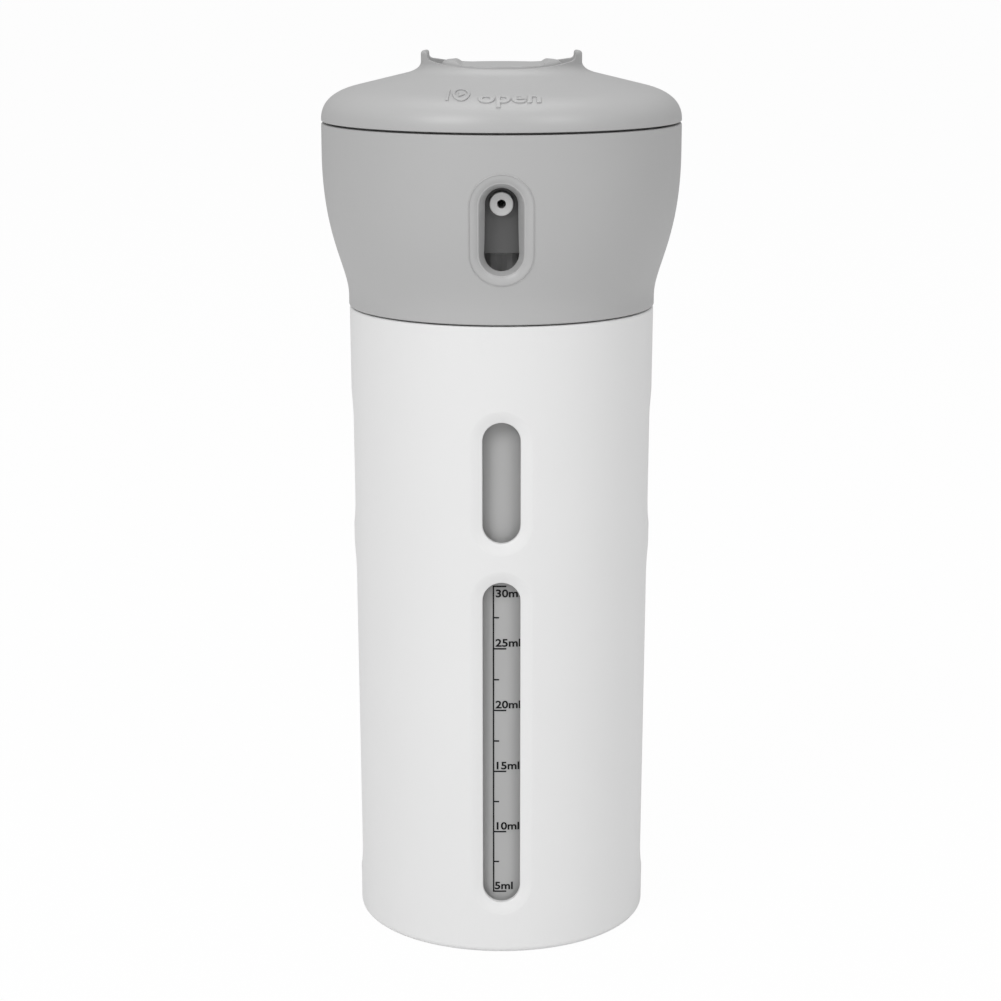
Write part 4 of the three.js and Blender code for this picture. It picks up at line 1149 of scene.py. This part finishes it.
# %% Printed bars
SCALE_TOP, SCALE_STEP = 71.8, 12.06  # height of the 30 ml tick, and of five millilitres
SCALE_X, TICKS = -1.5, 6
LONG_TICK, SHORT_TICK, LINE = 2.4, 1.05, 0.27
FILM = 0.04


def lay_on_bottle(obj):
    """Flat (x, z) millimetres with a thickness, onto the bottle's round face."""
    for v in obj.data.vertices:
        x, z, out = v.co
        r = BOTTLE_R + FILM + out
        angle = x / BOTTLE_R
        v.co = (MM * r * math.sin(angle), -MM * r * math.cos(angle), MM * z)


def bar(left, right, low, high, pieces=1):
    """A flat printed bar as a thin closed box."""
    outline = [(left + (right - left) * i / pieces, low) for i in range(pieces + 1)]
    outline += [(right + (left - right) * i / pieces, high) for i in range(pieces + 1)]
    return flat_piece("bar", outline, FILM)


def tick(z, length, pieces):
    return bar(SCALE_X, SCALE_X + length, z - LINE / 2, z + LINE / 2, pieces)


print("scale", round((TICKS - 1) * SCALE_STEP, 2), "mm tall")

# %% [markdown]
# The numbers are plain text, a little widened and thickened as small print is. They stand on
# their ticks, except the top one, which hangs below its tick. Everything is joined into one
# print before it is laid on the bottle.

# %% Level scale
DIGIT_SIZE, DIGIT_WIDER, DIGIT_BOLD = 2.05, 1.18, 0.05
STANDING, HANGING = 0.45, -2.05  # base line above the tick
GAP_WIDE, GAP_NARROW = 0.35, 0.15


def scale_parts():
    parts = [bar(SCALE_X - LINE / 2, SCALE_X + LINE / 2,
                 SCALE_TOP - (TICKS - 1) * SCALE_STEP - LINE / 2, SCALE_TOP + LINE / 2)]
    for k in range(TICKS):
        z = SCALE_TOP - k * SCALE_STEP
        parts.append(tick(z, LONG_TICK, 4))
        if k < TICKS - 1:
            parts.append(tick(z - SCALE_STEP / 2, SHORT_TICK, 2))
        label = text_mesh("label", f"{5 * (TICKS - k)}ml", DIGIT_SIZE, FILM / 2,
                          bold=DIGIT_BOLD)
        lift = HANGING if k == 0 else STANDING
        gap = GAP_WIDE if k < TICKS / 2 else GAP_NARROW
        for v in label.data.vertices:
            v.co.x = SCALE_X + gap + DIGIT_WIDER * v.co.x
            v.co.y += z + lift
        parts.append(label)
    return parts


def join(parts, name):
    work = bmesh.new()
    for part in parts:
        work.from_mesh(part.data)
        bpy.data.objects.remove(part)
    mesh = bpy.data.meshes.new(name)
    work.to_mesh(mesh)
    work.free()
    return placed(name, mesh)


scale = join(scale_parts(), "level_scale")
lay_on_bottle(scale)
on_all_stations(scale, "level_scale", "bottle_plastic", "cup", material=INK)
print("scale printed on four bottles")

# %% [markdown]
# ## Springs
# Each spring is drawn wire on a helix, with its last turns closed up as ground ends have them.
# It rides on the body that holds its lower end.

# %% Springs
RING_SIDES, TURN_STEPS = 12, 36


def spring(name, radius, bottom, top, turns, wire, middle):
    """Closed mesh of a wire wound about a vertical axis, pitch easing out at both ends."""
    count = turns * TURN_STEPS
    rings = []
    for i in range(count + 1):
        t = i / count
        ease = t - 0.75 * math.sin(2 * math.pi * t) / (2 * math.pi)
        z = bottom + wire / 2 + (top - bottom - wire) * ease
        a = 2 * math.pi * turns * t
        section = [(radius + wire / 2 * math.cos(b), z + wire / 2 * math.sin(b))
                   for b in (2 * math.pi * k / RING_SIDES for k in range(RING_SIDES))]
        rings.append([(middle[0] + r * math.cos(a), middle[1] + r * math.sin(a), up)
                      for r, up in section])
    return loft(name, rings)


print("joints that squash a spring:", len(STATIONS) + 1)

# %% [markdown]
# The node's box gives the spring its place, height and width. The share of its height that is
# left when the joint is at its end follows from the stroke.

# %% Springs in their places
PUMP_WIRE, PUMP_TURNS, BUTTON_WIRE, BUTTON_TURNS = 0.5, 5, 0.9, 4




def spring_for(name, node, body, turns, wire):
    """A fine spring in the space its node holds; gives back the share of its height left after
    the stroke.
    """
    low, high = box_mm(node)
    middle = ((low.x + high.x) / 2, (low.y + high.y) / 2)
    radius = (high.x - low.x) / 2 - wire / 2
    piece = spring(name, radius, low.z, high.z, turns, wire, middle)
    dress(smooth(piece, 60), "spring_steel", body, node)
    keep = (high.z - low.z - STROKE) / (high.z - low.z)
    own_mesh(piece)
    return keep


for n in STATIONS:
    left = spring_for(f"pump_coil_{n}", f"pump_spring_{n}", "cup",
                      PUMP_TURNS, PUMP_WIRE)
left_button = spring_for("button_coil", "button_spring", "lid",
                         BUTTON_TURNS, BUTTON_WIRE)
print("springs keep", round(left, 2), "and", round(left_button, 2), "of their height")

# %% [markdown]
# ## Pieces that keep their solids
# The rack, closures, housings and the small pump pieces are right as they are. They get their
# finish, soft edges from a bevel, and smooth shading on their round sides.

# %% Finish the carried-over pieces
replaced = {"shell", "head", "lid", "button_cap", "button_spring"}
for n in STATIONS:
    replaced |= {f"{name}_{n}" for name in ("actuator", "nozzle", "bottle", "pump_spring")}
slots = {row["node"]: row["material_slot"] for row in frame["record"]["subparts"]}
for name, obj in frame["nodes"].items():
    if name in replaced:
        continue
    obj.data.materials.clear()
    obj.data.materials.append(MATERIAL_OF_SLOT[slots[name]])
    obj.data.shade_smooth()
    obj.data.set_sharp_from_angle(angle=math.radians(38))
    soften(obj, 0.12, 2, 38)
    weigh = obj.modifiers.new("normals", "WEIGHTED_NORMAL")
    weigh.keep_sharp = True
print("carried over:", len(frame["nodes"]) - len(replaced))

# %% [markdown]
# ## Floor, light and camera
# The dispenser stands in a white studio. The floor and the world are white to the camera, and
# the floor mixes in its own lit surface so that the soft shadow stays.

# %% Floor and world
def two_faced(tree, share, lit, seen, output):
    """Lights the scene with one shader and shows the camera a share of another."""
    path = tree.nodes.new("ShaderNodeLightPath")
    mix = tree.nodes.new("ShaderNodeMixShader")
    feed(tree, mix.inputs[0], Wire(tree, path.outputs["Is Camera Ray"]) * share)
    tree.links.new(lit.outputs[0], mix.inputs[1])
    tree.links.new(seen.outputs[0], mix.inputs[2])
    tree.links.new(mix.outputs[0], tree.nodes[output].inputs["Surface"])


def studio_floor():
    mesh = bpy.data.meshes.new("floor")
    reach, glow_share = 40.0, 0.97
    mesh.from_pydata([(-reach, -reach, 0), (reach, -reach, 0), (reach, reach, 0),
                      (-reach, reach, 0)], [], [(0, 1, 2, 3)])
    floor = placed("floor", mesh)
    finish = Finish("floor_white", (0.86, 0.86, 0.86), 0.7)
    tree = finish.tree
    glow = tree.nodes.new("ShaderNodeEmission")
    glow.inputs["Color"].default_value = (1, 1, 1, 1)
    two_faced(tree, glow_share, finish.shader, glow, "Material Output")
    floor.data.materials.append(finish.material)


def white_world(strength):
    world = bpy.data.worlds.new("studio")
    world.use_nodes = True
    tree = world.node_tree
    lit = tree.nodes["Background"]
    lit.inputs["Color"].default_value = (1, 1, 1, 1)
    lit.inputs["Strength"].default_value = strength
    seen = tree.nodes.new("ShaderNodeBackground")
    seen.inputs["Color"].default_value = (1, 1, 1, 1)
    two_faced(tree, 1.0, lit, seen, "World Output")
    bpy.context.scene.world = world


studio_floor()
white_world(0.44)
print("floor and world are white to the camera")

# %% [markdown]
# A wide soft lamp at the front left gives the head its pale band, and a weaker one fills the
# right. The third, above and a little behind, brightens the lid and the top of the head.

# %% Lamps
AIM = Vector((0, 0, 0.09))  # half way up the dispenser


def soft_lamp(name, place, size, power):
    lamp = bpy.data.lights.new(name, "AREA")
    lamp.shape, lamp.size, lamp.size_y, lamp.energy = "RECTANGLE", size[0], size[1], power
    obj = placed(name, lamp)
    obj.location = place
    obj.rotation_euler = (AIM - Vector(place)).to_track_quat("-Z", "Y").to_euler()


soft_lamp("key", (-0.66, -0.88, 0.9), (0.5, 0.6), 7.0)
soft_lamp("fill", (0.7, -0.86, 0.9), (0.5, 0.6), 3.9)
soft_lamp("top", (0.0, 0.2, 1.3), (0.9, 0.9), 4.0)
print("lamps:", len(bpy.data.lights))

# %% [markdown]
# The camera stands close in front, a little above the dispenser, and looks down. Its place,
# tilt and focal length were solved from measured edges of the photograph, such as the joint
# lines, whose curves tell how far above them it stood.

# %% Camera
SENSOR = 36.0
CAMERA_BACK, CAMERA_HEIGHT = 0.4642, 0.1883
CAMERA_DOWN_DEG, FOCAL_PX, PHOTO_PX = 12.85, 2441.0, 1001.0
camera_data = bpy.data.cameras.new("camera")
camera_data.sensor_width = SENSOR
camera_data.lens = SENSOR * FOCAL_PX / PHOTO_PX
camera_data.shift_x = -0.0010
camera_data.clip_start = 0.01
camera = placed("camera", camera_data)
camera.location = (0, -CAMERA_BACK, CAMERA_HEIGHT)
camera.rotation_euler = (math.radians(90 - CAMERA_DOWN_DEG), 0, 0)
bpy.context.scene.camera = camera
bpy.context.scene.view_settings.view_transform = "Standard"
print("camera lens:", round(camera_data.lens, 1))
